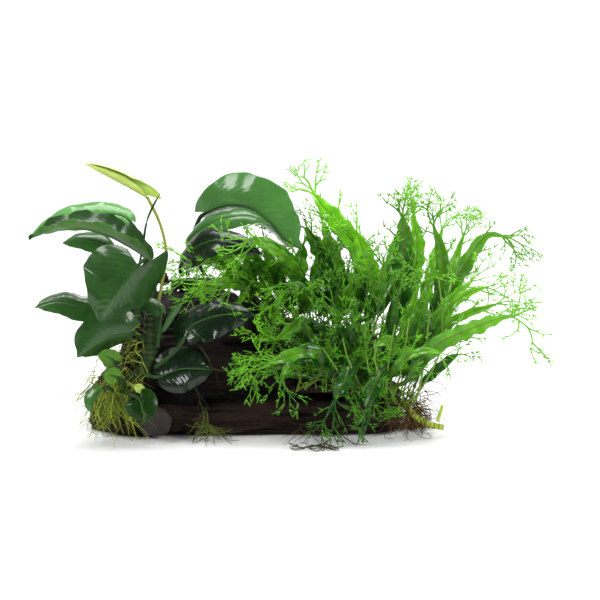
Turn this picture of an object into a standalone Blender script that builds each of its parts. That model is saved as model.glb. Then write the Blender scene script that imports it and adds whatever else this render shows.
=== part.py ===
"""A driftwood log that carries an anubias and a java fern. Each leaf, frond, root and stem is a solid."""

import math

import bmesh
import bpy
from mathutils import Vector

OBJECT = "java_fern_on_driftwood"
MM = 0.001
# Clearance between pieces, and under the fine growth
GAP = 0.3

# Places on the plants are given as they are seen from the front, from a little above, in millimetres:
# across from the middle of the wood, up from the wood's front foot, and back from the wood's middle.
VIEW_TILT = math.radians(10)
VIEW_DISTANCE = 2400.0
VIEW_MIDDLE = Vector((44.0, 0.0, 100.8))
FOOT_BELOW_MIDDLE = 104.0
TOWARDS_VIEWER = Vector((0, -math.cos(VIEW_TILT), math.sin(VIEW_TILT)))
PICTURE_UP = Vector((0, math.sin(VIEW_TILT), math.cos(VIEW_TILT)))
PICTURE_RIGHT = Vector((1, 0, 0))

# Sawn branch stub
STUB_PLACE = (-71.5, 6, -57)
STUB_RADIUS = 12.5
STUB_TAPER = 1.0
STUB_LENGTH = 6.0
STUB_UNDERSIDE = 3.0
STUB_SIDES = 20

# Stalks and blades
LEAF_SIDES, FROND_SIDES = 8, 6
LEAF_THICK, FROND_THICK = 0.5, 0.45
LEAF_STEPS = (0.04, 0.13, 0.27, 0.44, 0.62, 0.8, 0.93, 1.0)
FROND_STEPS = (0.12, 0.35, 0.62, 0.85)
CREST_STEPS = (0.0, 0.3, 0.7, 1.0)
STALK_STEPS = (0.0, 0.4, 0.8)
# Anubias outline: how fast the blade widens and narrows, and its lobes behind the stalk's joint
LEAF_RISE, RISE_PER_FULLNESS, LEAF_FALL = 0.75, 0.4, 0.75
LEAST_HALF_WIDTH = 0.6
LOBE_REACH = 0.4
LOBE_CURVE = 1.5
# Frond outline: a blade that is a low arch, and a forked end that widens from a narrow neck
FROND_STALK = 1.0
BLADE_ENDS = 0.1
BLADE_FULLNESS = 0.7
CREST_NECK = 0.2
CREST_ARCH = (0.05, 0.75)
FROND_FOLD = math.radians(8)
FROND_TWIST = 35.0
FROND_TWIST_STEP = 2.4
FOOT_LENGTH = 3.0

# Stems and fine growth
LINE_STEPS = 12
TUBE_STEPS = 3
TUBE_ROUNDNESS = 2
LUMP_SIDES = (10, 6)
LUMP_UNEVEN = 0.08
LUMP_WAVES = Vector((3, 5, 2))

LEAF_GREEN = (0.035, 0.13, 0.02)
LIGHT_GREEN = (0.2, 0.42, 0.04)
YELLOW_GREEN = (0.45, 0.6, 0.08)
FROND_GREEN = (0.13, 0.45, 0.02)
STEM_GREEN = (0.1, 0.22, 0.04)
ROOT_BROWN = (0.08, 0.035, 0.015)
ROOT_OLIVE = (0.16, 0.17, 0.03)
WOOD_DARK = (0.022, 0.015, 0.012)
SAWN_GREY = (0.1, 0.08, 0.07)


def seen(across, up, back):
    """The point at this depth that the viewer sees at this place."""
    sideways = across - VIEW_MIDDLE.x
    upwards = up - FOOT_BELOW_MIDDLE
    eye = VIEW_MIDDLE + VIEW_DISTANCE * TOWARDS_VIEWER
    ray = -TOWARDS_VIEWER + (sideways * PICTURE_RIGHT + upwards * PICTURE_UP) / VIEW_DISTANCE
    return eye + ray * ((back - eye.y) / ray.y)


def material(name, colour, roughness):
    found = bpy.data.materials.get(name)
    if found:
        return found
    made = bpy.data.materials.new(name)
    made.use_nodes = True
    shader = made.node_tree.nodes["Principled BSDF"]
    shader.inputs["Base Color"].default_value = (*colour, 1)
    shader.inputs["Roughness"].default_value = roughness
    shader.inputs["Metallic"].default_value = 0
    return made


def add(name, mesh, colour, roughness):
    piece = bpy.data.objects.new(name, mesh)
    mesh.materials.append(material(name, colour, roughness))
    PARTS.objects.link(piece)
    return piece


def smooth_line(points, steps=LINE_STEPS):
    """A Catmull-Rom line through the points, with the distance along it at each sample and at each point."""
    ends = [points[0] * 2 - points[1], *points, points[-1] * 2 - points[-2]]
    line, marks = [points[0]], [0.0]
    travelled = [0.0]
    for i in range(1, len(ends) - 2):
        a, b, c, d = ends[i - 1 : i + 3]
        for k in range(1, steps + 1):
            t = k / steps
            bend, turn = 2 * a - 5 * b + 4 * c - d, 3 * b - a - 3 * c + d
            point = 0.5 * (2 * b + (c - a) * t + bend * t**2 + turn * t**3)
            travelled.append(travelled[-1] + (point - line[-1]).length)
            line.append(point)
        marks.append(travelled[-1])
    return line, travelled, marks


def along(line, travelled, distance):
    """The point at this distance along the line, and the line's direction there."""
    distance = min(max(distance, 0.0), travelled[-1])
    i = 1
    while travelled[i] < distance and i < len(line) - 1:
        i += 1
    share = (distance - travelled[i - 1]) / max(travelled[i] - travelled[i - 1], 1e-9)
    before, after = line[max(i - 2, 0)], line[min(i + 1, len(line) - 1)]
    return line[i - 1].lerp(line[i], share), (after - before).normalized()


def rings_to_mesh(name, rings):
    """A closed skin over rings of as many points each, from the first to the last."""
    bm = bmesh.new()
    rows = [[bm.verts.new(point * MM) for point in ring] for ring in rings]
    count = len(rings[0])
    for near, far in zip(rows, rows[1:]):
        for i in range(count):
            j = (i + 1) % count
            bm.faces.new((near[i], near[j], far[j], far[i]))
    bm.faces.new(reversed(rows[0]))
    bm.faces.new(rows[-1])
    bmesh.ops.recalc_face_normals(bm, faces=bm.faces)
    mesh = bpy.data.meshes.new(name)
    bm.to_mesh(mesh)
    bm.free()
    return mesh


def across_line(direction, roll):
    """The blade's sideways and upper directions: at no roll its upper side faces the viewer."""
    side = direction.cross(TOWARDS_VIEWER).normalized()
    upper = side.cross(direction).normalized()
    return (
        side * math.cos(roll) + upper * math.sin(roll),
        upper * math.cos(roll) - side * math.sin(roll),
    )


def stalk_ring(centre, side, upper, radius, sides):
    turns = [2 * math.pi * k / sides for k in range(sides)]
    return [centre + radius * (side * math.cos(a) + upper * math.sin(a)) for a in turns]


def blade_ring(centre, forward, side, upper, half_width, fold, thick, swept, sides):
    """A thin lens across the blade, with its halves folded up and its edges swept back along the stalk."""
    ring = []
    for k in range(sides):
        turn = 2 * math.pi * k / sides
        share = 1 - 2 * turn / math.pi if turn <= math.pi else 2 * turn / math.pi - 3
        face = 0 if abs(math.sin(turn)) < 1e-6 else math.copysign(1, math.sin(turn))
        reach = abs(share) * half_width
        point = centre + side * math.copysign(reach, share) * math.cos(fold)
        point += upper * (reach * math.sin(fold) + face * thick)
        ring.append(point - forward * swept[share > 0] * abs(share) ** LOBE_CURVE)
    return ring


def leaf_width(share, fullness):
    """The half width along an anubias blade: a high fullness gives a heart, a low one a lance."""
    rise = LEAF_RISE - RISE_PER_FULLNESS * fullness
    top = rise / (rise + LEAF_FALL)
    peak = top**rise * (1 - top) ** LEAF_FALL
    return max(share, 1e-4) ** rise * max(1 - share, 0) ** LEAF_FALL / peak


def leaf(name, path, blade_from, width, roll=(0, 0), fold=-12, fullness=1.0, lobe=0.0,
         stalk=1.7, colour=LEAF_GREEN):
    """An anubias leaf in one piece: a round stalk up to the point blade_from of its path, then the blade.

    Two lobes are given where its two halves differ."""
    line, travelled, marks = smooth_line(path)
    start, end = marks[blade_from], marks[-1]
    lobes = lobe if isinstance(lobe, tuple) else (lobe, lobe)
    rings = []
    for step in STALK_STEPS:
        centre, forward = along(line, travelled, start * step)
        side, upper = across_line(forward, math.radians(roll[0]))
        rings.append(stalk_ring(centre, side, upper, stalk, LEAF_SIDES))
    for step in LEAF_STEPS:
        centre, forward = along(line, travelled, start + (end - start) * step)
        side, upper = across_line(forward, math.radians(roll[0] + (roll[1] - roll[0]) * step))
        half = max(width / 2 * leaf_width(step, fullness), LEAST_HALF_WIDTH)
        swept = [each * max(0, 1 - step / LOBE_REACH) ** 2 for each in lobes]
        rings.append(blade_ring(centre, forward, side, upper, half, math.radians(fold), LEAF_THICK,
                                swept, LEAF_SIDES))
    return add(name, rings_to_mesh(name, rings), colour, 0.3)


def frond(name, path, width, crest, roll):
    """A fern frond in one piece: stalk, strap-like blade, and a thin fan that reaches its forked tips.

    The path's first two points stand on the stem, the stalk ends at the third, and the fan starts at the
    last but one."""
    line, travelled, marks = smooth_line(path)
    start, neck, end = marks[2], marks[-2], marks[-1]
    rings = []
    for step in STALK_STEPS:
        centre, forward = along(line, travelled, start * step)
        side, upper = across_line(forward, 0)
        rings.append(stalk_ring(centre, side, upper, FROND_STALK, FROND_SIDES))
    stations = []
    for step in FROND_STEPS:
        arch = math.sin(math.pi * (BLADE_ENDS + (1 - 2 * BLADE_ENDS) * step)) ** BLADE_FULLNESS
        stations.append((start + (neck - start) * step, width / 2 * arch))
    for step in CREST_STEPS:
        arch = math.sin(math.pi * (CREST_ARCH[0] + CREST_ARCH[1] * step))
        stations.append((neck + (end - neck) * step, crest / 2 * (CREST_NECK + (1 - CREST_NECK) * arch)))
    for distance, half in stations:
        centre, forward = along(line, travelled, distance)
        side, upper = across_line(forward, math.radians(roll) * distance / end)
        rings.append(blade_ring(centre, forward, side, upper, half, FROND_FOLD, FROND_THICK, (0, 0),
                                FROND_SIDES))
    return add(name, rings_to_mesh(name, rings), FROND_GREEN, 0.35)


def tube(name, points, radii, colour, roughness=0.6):
    """A stem or root: a curve with a round bevel through the points."""
    line = smooth_line(points, TUBE_STEPS)[0]
    curve = bpy.data.curves.new(name, "CURVE")
    curve.dimensions = "3D"
    curve.bevel_depth = MM
    curve.bevel_resolution = TUBE_ROUNDNESS
    curve.use_fill_caps = True
    spline = curve.splines.new("POLY")
    spline.points.add(len(line) - 1)
    for i, point in enumerate(line):
        place = i / (len(line) - 1) * (len(radii) - 1)
        low = min(int(place), len(radii) - 2)
        spline.points[i].co = (*(point * MM), 1)
        spline.points[i].radius = radii[low] + (radii[low + 1] - radii[low]) * (place - low)
    curve.materials.append(material(name, colour, roughness))
    piece = bpy.data.objects.new(name, curve)
    PARTS.objects.link(piece)
    return piece


def lump(name, centre, radii, colour):
    """A soft uneven lump for fine growth, levelled where it meets the ground."""
    bm = bmesh.new()
    bmesh.ops.create_uvsphere(bm, u_segments=LUMP_SIDES[0], v_segments=LUMP_SIDES[1], radius=1)
    for vertex in bm.verts:
        uneven = 1 + LUMP_UNEVEN * math.sin(vertex.co.dot(LUMP_WAVES))
        spot = centre + vertex.co * Vector(radii) * uneven
        spot.z = max(spot.z, GAP)
        vertex.co = spot * MM
    mesh = bpy.data.meshes.new(name)
    bm.to_mesh(mesh)
    bm.free()
    return add(name, mesh, colour, 0.7)


# Section of the log, as (back, height) from the front foot round: the tall left part, then the low right.
TALL_SECTION = (
    (-38, 0), (0, 0), (42, 0), (47, 6), (53, 22), (54, 46), (48, 70), (35, 91), (16, 104),
    (-6, 107), (-27, 99), (-41, 83), (-47, 63), (-44, 45), (-40, 34), (-49, 27), (-53, 16), (-49, 5),
)
LOW_SECTION = (
    (-38, 0), (0, 0), (42, 0), (46, 5), (51, 17), (52, 32), (46, 50), (33, 62), (15, 69),
    (-6, 70), (-22, 65), (-32, 56), (-36, 45), (-38, 34), (-40, 28), (-49, 25), (-53, 15), (-49, 5),
)
# Across, height of the tops, how low the section is (0 tall, 1 low), and depth, along the log.
WOOD_STATIONS = (
    (-118, 0.3, 0, 0.5), (-112, 0.38, 0, 0.72), (-103, 0.48, 0, 0.88), (-96, 0.62, 0, 0.95),
    (-90, 0.93, 0, 1), (-72, 1.0, 0, 1), (-50, 0.99, 0, 1), (-28, 1.03, 0, 1), (-8, 1.0, 0.1, 1),
    (12, 0.98, 0.4, 1), (30, 0.97, 0.75, 1), (52, 1.0, 1, 1), (76, 0.98, 1, 1), (98, 0.92, 1, 0.97),
    (111, 0.75, 1, 0.86), (118, 0.45, 1, 0.6),
)


def wood_section(share_low, top, depth, across):
    ring = []
    for tall, low in zip(TALL_SECTION, LOW_SECTION):
        back = tall[0] + (low[0] - tall[0]) * share_low
        height = tall[1] + (low[1] - tall[1]) * share_low
        ring.append(Vector((across, back * depth, height * top if height > 0 else 0)))
    return ring


def driftwood():
    rings = [wood_section(low, top, depth, across) for across, top, low, depth in WOOD_STATIONS]
    add("driftwood_log", rings_to_mesh("driftwood_log", rings), WOOD_DARK, 0.75)
    bm = bmesh.new()
    bmesh.ops.create_cone(bm, segments=STUB_SIDES, radius1=STUB_RADIUS, radius2=STUB_RADIUS - STUB_TAPER,
                          depth=STUB_LENGTH, cap_ends=True)
    for vertex in bm.verts:
        place = vertex.co
        vertex.co = Vector((place.x, -place.z, place.y)) + seen(*STUB_PLACE)
    everything = bm.verts[:] + bm.edges[:] + bm.faces[:]
    cut = bmesh.ops.bisect_plane(bm, geom=everything, plane_co=(0, 0, STUB_UNDERSIDE),
                                 plane_no=(0, 0, -1), clear_outer=True)
    rim = [edge for edge in cut["geom_cut"] if isinstance(edge, bmesh.types.BMEdge)]
    bmesh.ops.holes_fill(bm, edges=rim)
    bmesh.ops.recalc_face_normals(bm, faces=bm.faces)
    bmesh.ops.scale(bm, vec=(MM, MM, MM), verts=bm.verts)
    mesh = bpy.data.meshes.new("driftwood_stub")
    bm.to_mesh(mesh)
    bm.free()
    add("driftwood_stub", mesh, SAWN_GREY, 0.8)


# Creeping stems, from their old ends to their growing tips, with their radii
LEFT_RHIZOME = ((-104, 36, -66), (-92, 40, -64), (-80, 50, -62), (-76, 66, -62), (-75, 92, -61))
BACK_RHIZOME = ((-58, 116, 8), (-44, 117, 4), (-26, 118, 4))
TOP_RHIZOME = ((0, 108, 8), (14, 99, 6), (30, 88, 4), (60, 80, 4), (90, 77, 4), (106, 71, 2))
FRONT_RHIZOME = ((36, 32, -46), (70, 32, -47), (100, 30, -48), (122, 24, -50), (134, 13, -52),
                 (146, 5, -53), (159, 2, -54))
CUT_STALK = ((154, 7, -54), (156, 13, -54), (158, 20, -53))
LEFT_RADII = (4, 5, 6, 6, 5.5)
BACK_RADII = (4, 5, 4)
TOP_RADII = (3.2, 3.6, 3.6, 3.2)
FRONT_RADII = (3, 3.4, 3.4, 3.2, 2.8)
CUT_STALK_RADII = (1.3, 1.4)
# The stems that fronds grow from, with how far from the middle a frond's foot starts
STEMS = {"top": (TOP_RHIZOME, 3.7), "front": (FRONT_RHIZOME, 3.5)}


def line_of(spots):
    return [seen(*spot) for spot in spots]


def rhizomes():
    tube("anubias_rhizome_left", line_of(LEFT_RHIZOME), LEFT_RADII, STEM_GREEN)
    tube("anubias_rhizome_back", line_of(BACK_RHIZOME), BACK_RADII, STEM_GREEN)
    tube("fern_rhizome_top", line_of(TOP_RHIZOME), TOP_RADII, ROOT_BROWN)
    tube("fern_rhizome_front", line_of(FRONT_RHIZOME), FRONT_RADII, YELLOW_GREEN)
    tube("fern_cut_stalk", line_of(CUT_STALK), CUT_STALK_RADII, LIGHT_GREEN)


def foot(stem, radius, place, turn):
    """Two points that start a stalk square on a lying stem, at a share of its length.

    The turn is 0 for a stalk that leaves straight up, 90 for one that leaves away from the viewer."""
    line, travelled, _ = smooth_line(line_of(stem))
    centre, forward = along(line, travelled, travelled[-1] * place)
    upward = forward.cross(Vector((0, 1, 0))).normalized()
    away = upward.cross(forward).normalized()
    outward = upward * math.cos(math.radians(turn)) + away * math.sin(math.radians(turn))
    start = centre + outward * (radius + GAP)
    return [start, start + outward * FOOT_LENGTH]


# Anubias leaves: route of the stalk and midrib, its index where the blade starts, and the blade's width.
# The roll turns the blade about its midrib, and the fold raises its halves.
ANUBIAS_LEAVES = (
    ("front", (
      (-84, 88, -66), (-88, 106, -70), (-84, 124, -76), (-79, 136, -84), (-85, 132, -92),
      (-100, 110, -99), (-116, 87, -103)), 4, 72,
     dict(roll=(22, 34), fold=-30, lobe=(28, 6), fullness=1.1)),
    ("arched", (
      (-76, 96, -54), (-77, 118, -53), (-79, 137, -56), (-98, 150, -60), (-114, 157, -61),
      (-132, 161, -60), (-152, 160, -59), (-173, 153, -60)), 2, 42,
     dict(roll=(-75, -75), fold=35, lobe=5, fullness=0.8)),
    ("rear", (
      (-72, 97, -50), (-74, 125, -40), (-92, 167, -26), (-120, 173, -22), (-146, 169, -22),
      (-170, 157, -26)), 2, 27,
     dict(roll=(-30, -30), fold=-15, lobe=4, fullness=0.8)),
    ("curled", (
      (-82, 90, -50), (-92, 120, -46), (-108, 146, -44), (-128, 153, -44), (-146, 150, -44)), 2, 20,
     dict(roll=(-20, -40), fold=-24, lobe=4, fullness=0.7)),
    ("low_left", (
      (-84, 84, -64), (-98, 93, -66), (-112, 97, -67), (-130, 100, -70), (-150, 103, -74),
      (-168, 98, -80)), 2, 26,
     dict(roll=(-38, -30), fold=-20, lobe=5, fullness=0.8)),
    ("mid_left", (
      (-83, 74, -66), (-86, 76, -72), (-91, 77, -77), (-107, 75, -82), (-122, 68, -88),
      (-134, 58, -92)), 2, 46,
     dict(roll=(36, 34), fold=-30, lobe=(4, 8), fullness=0.85)),
    ("inner", (
      (-70, 66, -70), (-68, 84, -71), (-68, 97, -68), (-77, 103, -65), (-90, 102, -62)), 2, 20,
     dict(roll=(-40, -40), fold=-30, lobe=6, fullness=0.9)),
    ("light_underside", (
      (-104, 42, -72), (-103, 50, -74), (-104, 55, -78), (-111, 59, -82), (-118, 60, -85)), 2, 16,
     dict(roll=(190, 190), fold=-15, lobe=2, colour=LIGHT_GREEN)),
    ("bright_small", (
      (-96, 34, -73), (-98, 38, -78), (-102, 42, -82), (-113, 46, -84)), 2, 15,
     dict(roll=(190, 190), fold=-15, lobe=2, fullness=0.7, colour=LIGHT_GREEN)),
    ("folded_small", (
      (-104, 30, -73), (-108, 33, -78), (-113, 33, -83), (-122, 24, -86), (-123, 13, -87)), 2, 16,
     dict(roll=(30, 30), fold=-50, fullness=0.7)),
    ("round", (
      (-99, 31, -73), (-93, 29, -80), (-85, 25, -84), (-82, 16, -87), (-80, 5, -88)), 2, 26,
     dict(fold=-6, lobe=5, fullness=1.25, colour=LIGHT_GREEN)),
    ("torn", (
      (-90, 31, -71), (-90, 35, -74), (-88, 36, -76), (-79, 30, -78)), 2, 9,
     dict(roll=(40, 40), fold=-10, fullness=0.6, stalk=1.0, colour=YELLOW_GREEN)),
    ("over_wood", (
      (-72, 50, -70), (-57, 62, -72), (-48, 74, -73), (-42, 84, -69), (-20, 92, -66), (7, 92, -62)), 2, 36,
     dict(roll=(34, 14), fold=-18, lobe=(6, 4), fullness=0.9)),
    ("low_wood", (
      (-79, 46, -72), (-75, 43, -74), (-68, 43, -72), (-50, 49, -64), (-26, 48, -59)), 2, 38,
     dict(roll=(12, 10), fold=-10, lobe=4, fullness=0.7)),
    ("big_arch", (
      (-46, 124, 4), (-43, 150, 6), (-37, 168, 4), (-30, 174, 0), (-12, 180, -8), (6, 177, -14),
      (20, 166, -20), (34, 152, -26), (46, 144, -30)), 3, 54,
     dict(roll=(-38, -38), fold=-38, lobe=(12, 12), fullness=0.45)),
    ("ribbed", (
      (-32, 124, 0), (-40, 138, -8), (-46, 150, -16), (-32, 163, -24), (-14, 170, -28), (4, 171, -30),
      (21, 164, -30)), 2, 24,
     dict(roll=(50, 40), fold=-14, lobe=5, fullness=0.7)),
    ("dark", (
      (-50, 124, -2), (-52, 128, -14), (-50, 134, -28), (-38, 147, -42), (-22, 152, -50),
      (-4, 149, -54), (14, 141, -56)), 2, 27,
     dict(roll=(40, 20), fold=-16, lobe=5, fullness=0.7)),
    ("sheath", (
      (-71, 70, -56), (-67, 78, -56), (-60, 92, -56), (-48, 107, -54)), 1, 9,
     dict(roll=(-60, -40), fold=30, fullness=0.5, stalk=1.6)),
    ("new_roll", (
      (-70, 98, -52), (-66, 120, -46), (-63, 142, -42), (-68, 165, -38), (-77, 184, -36),
      (-80, 188, -36), (-100, 199, -38), (-128, 213, -42)), 5, 17,
     dict(roll=(-38, -38), fold=50, lobe=(4, 13), fullness=0.8, stalk=1.3, colour=YELLOW_GREEN)),
    ("spear_bud", (
      (-80, 97, -56), (-86, 120, -47), (-82, 145, -43), (-79, 165, -44), (-74, 178, -45),
      (-68, 189, -46)), 3, 3.4,
     dict(fold=60, fullness=0.3, stalk=1.0)),
)

# Fern fronds: where each leaves its stem and which way, its route, and the widths of its blade and crest.
FERN_FRONDS = (
    ("tall_left", "top", 0.92, 20, (
      (105, 104, 24), (94, 139, 34), (74, 166, 40), (55, 189, 42), (44, 217, 42)), 15, 24),
    ("tall_middle", "top", 0.95, 0, (
      (107, 104, 13), (98, 134, 15), (89, 158, 15), (80, 180, 14)), 14, 18),
    ("tall_rear", "top", 0.70, 40, (
      (80, 104, 40), (71, 138, 54), (62, 166, 62), (54, 188, 66)), 12, 16),
    ("tall_inner", "top", 0.62, 0, (
      (73, 104, 8), (62, 138, 6), (49, 162, 3), (40, 178, 2)), 12, 14),
    ("upright", "top", 0.985, -20, (
      (120, 84, 0), (125, 116, 0), (127, 146, -2), (126, 171, -4), (126, 188, -5)), 16, 26),
    ("crown", "top", 0.97, 50, (
      (122, 84, 30), (132, 112, 48), (138, 144, 58), (135, 173, 62), (140, 195, 63)), 12, 30),
    ("right_upright", "front", 0.66, 30, (
      (134, 40, -36), (146, 76, -26), (156, 108, -24), (158, 140, -22), (151, 164, -20),
      (151, 187, -20)), 13, 30),
    ("right_curled", "front", 0.72, 60, (
      (136, 36, -22), (150, 84, -6), (170, 122, 0), (190, 153, 2), (206, 155, 2), (234, 142, -2)), 15, 26),
    ("right_wavy", "front", 0.62, 0, (
      (138, 48, -46), (153, 76, -46), (168, 102, -46), (194, 114, -46), (216, 106, -48)), 9, 22),
    ("right_narrow", "front", 0.58, -20, (
      (134, 44, -55), (150, 68, -57), (168, 88, -57), (202, 101, -57), (230, 110, -57)), 8, 22),
    ("right_wide", "front", 0.53, -50, (
      (128, 38, -66), (144, 60, -70), (160, 72, -72), (186, 83, -72), (212, 91, -72),
      (256, 92, -70)), 15, 36),
    ("right_low", "front", 0.47, -50, (
      (116, 44, -68), (128, 58, -76), (143, 63, -80), (156, 61, -82), (174, 50, -82)), 8, 14),
    ("right_rear", "front", 0.76, 90, (
      (138, 44, -8), (151, 90, 18), (166, 130, 36), (175, 156, 43), (185, 174, 46)), 11, 26),
    ("left_over_leaf", "top", 0.24, -60, (
      (42, 104, -16), (40, 130, -30), (20, 148, -52), (2, 152, -56), (-22, 140, -58)), 10, 22),
    ("left_middle", "top", 0.30, -20, (
      (50, 104, 0), (40, 124, -8), (18, 134, -10), (-4, 130, -12)), 9, 20),
    ("left_bright", "top", 0.03, 0, (
      (0, 122, 10), (-14, 131, 16), (-34, 133, 22), (-62, 122, 24)), 8, 30),
    ("left_low", "top", 0.08, -60, (
      (4, 112, -14), (-14, 118, -54), (-34, 117, -62), (-58, 110, -64)), 8, 28),
    ("left_front", "top", 0.36, -70, (
      (48, 98, -30), (48, 110, -40), (38, 117, -44), (20, 104, -50)), 8, 28),
    ("front_spread", "front", 0.10, -60, (
      (62, 46, -62), (56, 63, -70), (38, 60, -76), (20, 54, -78), (-12, 49, -80)), 10, 42),
    ("front_upper", "top", 0.42, -80, (
      (50, 84, -44), (44, 86, -54), (24, 72, -58), (-4, 66, -60)), 9, 32),
    ("front_hanging_thin", "front", 0.05, -60, (
      (44, 44, -66), (36, 52, -84), (30, 44, -88), (32, 34, -89), (39, 13, -89)), 4, 18),
    ("front_hanging_left", "front", 0.30, -60, (
      (90, 48, -60), (86, 54, -68), (79, 38, -76), (72, 24, -80), (70, -4, -80)), 10, 30),
    ("front_hanging_right", "front", 0.40, -60, (
      (113, 50, -62), (109, 46, -70), (101, 30, -76), (98, 16, -80), (100, -4, -80)), 11, 30),
    ("front_pale", "front", 0.44, 0, (
      (118, 60, -54), (114, 70, -58), (105, 67, -62), (97, 54, -66)), 10, 12),
    ("middle_low", "front", 0.34, 0, (
      (97, 60, -54), (93, 78, -60), (87, 88, -64), (74, 93, -66)), 8, 26),
    ("middle", "top", 0.55, -50, (
      (74, 92, -20), (80, 106, -32), (85, 118, -36), (86, 134, -38)), 9, 26),
    ("middle_right", "top", 0.82, -50, (
      (98, 92, -18), (106, 112, -28), (111, 132, -30), (112, 150, -30)), 10, 28),
)


def anubias_leaves():
    for label, route, blade_from, width, shape in ANUBIAS_LEAVES:
        leaf("anubias_leaf_" + label, line_of(route), blade_from, width, **shape)


def fern_fronds():
    for order, (label, stem, place, turn, route, width, crest) in enumerate(FERN_FRONDS):
        path = foot(*STEMS[stem], place, turn) + line_of(route)
        frond("fern_frond_" + label, path, width, crest, FROND_TWIST * math.sin(FROND_TWIST_STEP * order))


LONG_ROOT = ((-64, 44, -60), (-54, 45, -60), (-40, 34, -60), (-35, 20, -60), (-31, 8, -62), (-32, 2, -64))
FORKED_ROOT = ((-37, 68, -56), (-30, 58, -56), (-25, 49, -56), (-10, 46, -55), (0, 38, -55), (11, 31, -56))


def roots():
    tube("anubias_root_long", line_of(LONG_ROOT), (0.8, 0.7), ROOT_OLIVE)
    tube("anubias_root_forked", line_of(FORKED_ROOT), (0.9, 0.8, 0.6), ROOT_OLIVE)
    lump("anubias_root_fan", seen(-24, -6.6, -74), (20, 18, 2.6), ROOT_OLIVE)
    lump("anubias_root_tuft", seen(-108, 13, -69), (12, 9, 19), ROOT_OLIVE)
    lump("fern_root_tangle", seen(133, 12, -14), (13, 16, 17), ROOT_BROWN)
    lump("fern_roots_front", seen(56, -9, -95), (17, 9, 2.6), ROOT_BROWN)


def main():
    for leftover in list(bpy.data.objects):
        bpy.data.objects.remove(leftover)
    bpy.context.scene.collection.children.link(PARTS)
    driftwood()
    rhizomes()
    anubias_leaves()
    fern_fronds()
    roots()


PARTS = bpy.data.collections.new(OBJECT)
main()
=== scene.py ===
"""Looks for a driftwood log that carries an anubias and a java fern."""
import math
import random

import bpy
import numpy as np
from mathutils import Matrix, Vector, noise


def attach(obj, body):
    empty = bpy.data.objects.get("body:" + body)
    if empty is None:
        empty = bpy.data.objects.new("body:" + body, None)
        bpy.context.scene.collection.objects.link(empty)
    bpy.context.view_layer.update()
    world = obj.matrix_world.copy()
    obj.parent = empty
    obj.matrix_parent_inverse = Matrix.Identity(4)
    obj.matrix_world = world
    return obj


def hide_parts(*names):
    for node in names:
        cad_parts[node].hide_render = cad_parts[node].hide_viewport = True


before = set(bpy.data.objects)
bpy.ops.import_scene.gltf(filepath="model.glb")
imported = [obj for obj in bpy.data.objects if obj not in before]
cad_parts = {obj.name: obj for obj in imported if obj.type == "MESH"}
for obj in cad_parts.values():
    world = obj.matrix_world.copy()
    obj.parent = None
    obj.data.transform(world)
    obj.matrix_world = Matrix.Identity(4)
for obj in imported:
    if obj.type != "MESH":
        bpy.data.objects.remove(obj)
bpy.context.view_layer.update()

MM = 0.001
ROLL_TURN = 2.9
ROLL_WIDENS = 1.55

# The solids' measures, repeated
VIEW_TILT = math.radians(10)
VIEW_DISTANCE = 2400.0
VIEW_MIDDLE = np.array((44.0, 0.0, 100.8))
TOWARDS_VIEWER = np.array((0, -math.cos(VIEW_TILT), math.sin(VIEW_TILT)))
PICTURE_UP = np.array((0, math.sin(VIEW_TILT), math.cos(VIEW_TILT)))
PICTURE_RIGHT = np.array((1.0, 0, 0))
FOOT_BELOW_MIDDLE = 104.0
STUB_PLACE = (-71.5, 6, -57)
STUB_RADIUS = 12.5
STUB_LENGTH = 6.0
STUB_UNDERSIDE = 3.0
LEAF_RISE, RISE_PER_FULLNESS, LEAF_FALL = 0.75, 0.4, 0.75
LOBE_REACH = 0.4
LOBE_CURVE = 1.5
FROND_STALK = 1.0
BLADE_ENDS = 0.1
BLADE_FULLNESS = 0.7
FROND_FOLD = math.radians(8)
FROND_TWIST = 35.0
FROND_TWIST_STEP = 2.4
FOOT_LENGTH = 3.0
LINE_STEPS = 12
TALL_SECTION = (
    (-38, 0), (0, 0), (42, 0), (47, 6), (53, 22), (54, 46), (48, 70), (35, 91), (16, 104),
    (-6, 107), (-27, 99), (-41, 83), (-47, 63), (-44, 45), (-40, 34), (-49, 27), (-53, 16), (-49, 5),
)
LOW_SECTION = (
    (-38, 0), (0, 0), (42, 0), (46, 5), (51, 17), (52, 32), (46, 50), (33, 62), (15, 69),
    (-6, 70), (-22, 65), (-32, 56), (-36, 45), (-38, 34), (-40, 28), (-49, 25), (-53, 15), (-49, 5),
)
WOOD_STATIONS = (
    (-118, 0.3, 0, 0.5), (-112, 0.38, 0, 0.72), (-103, 0.48, 0, 0.88), (-96, 0.62, 0, 0.95),
    (-90, 0.93, 0, 1), (-72, 1.0, 0, 1), (-50, 0.99, 0, 1), (-28, 1.03, 0, 1), (-8, 1.0, 0.1, 1),
    (12, 0.98, 0.4, 1), (30, 0.97, 0.75, 1), (52, 1.0, 1, 1), (76, 0.98, 1, 1), (98, 0.92, 1, 0.97),
    (111, 0.75, 1, 0.86), (118, 0.45, 1, 0.6),
)
LEFT_RHIZOME = ((-104, 36, -66), (-92, 40, -64), (-80, 50, -62), (-76, 66, -62), (-75, 92, -61))
BACK_RHIZOME = ((-58, 116, 8), (-44, 117, 4), (-26, 118, 4))
TOP_RHIZOME = ((0, 108, 8), (14, 99, 6), (30, 88, 4), (60, 80, 4), (90, 77, 4), (106, 71, 2))
FRONT_RHIZOME = ((36, 32, -46), (70, 32, -47), (100, 30, -48), (122, 24, -50), (134, 13, -52),
                 (146, 5, -53), (159, 2, -54))
CUT_STALK = ((154, 7, -54), (156, 13, -54), (158, 20, -53))
LEFT_RADII = (4, 5, 6, 6, 5.5)
BACK_RADII = (4, 5, 4)
TOP_RADII = (3.2, 3.6, 3.6, 3.2)
FRONT_RADII = (3, 3.4, 3.4, 3.2, 2.8)
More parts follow.
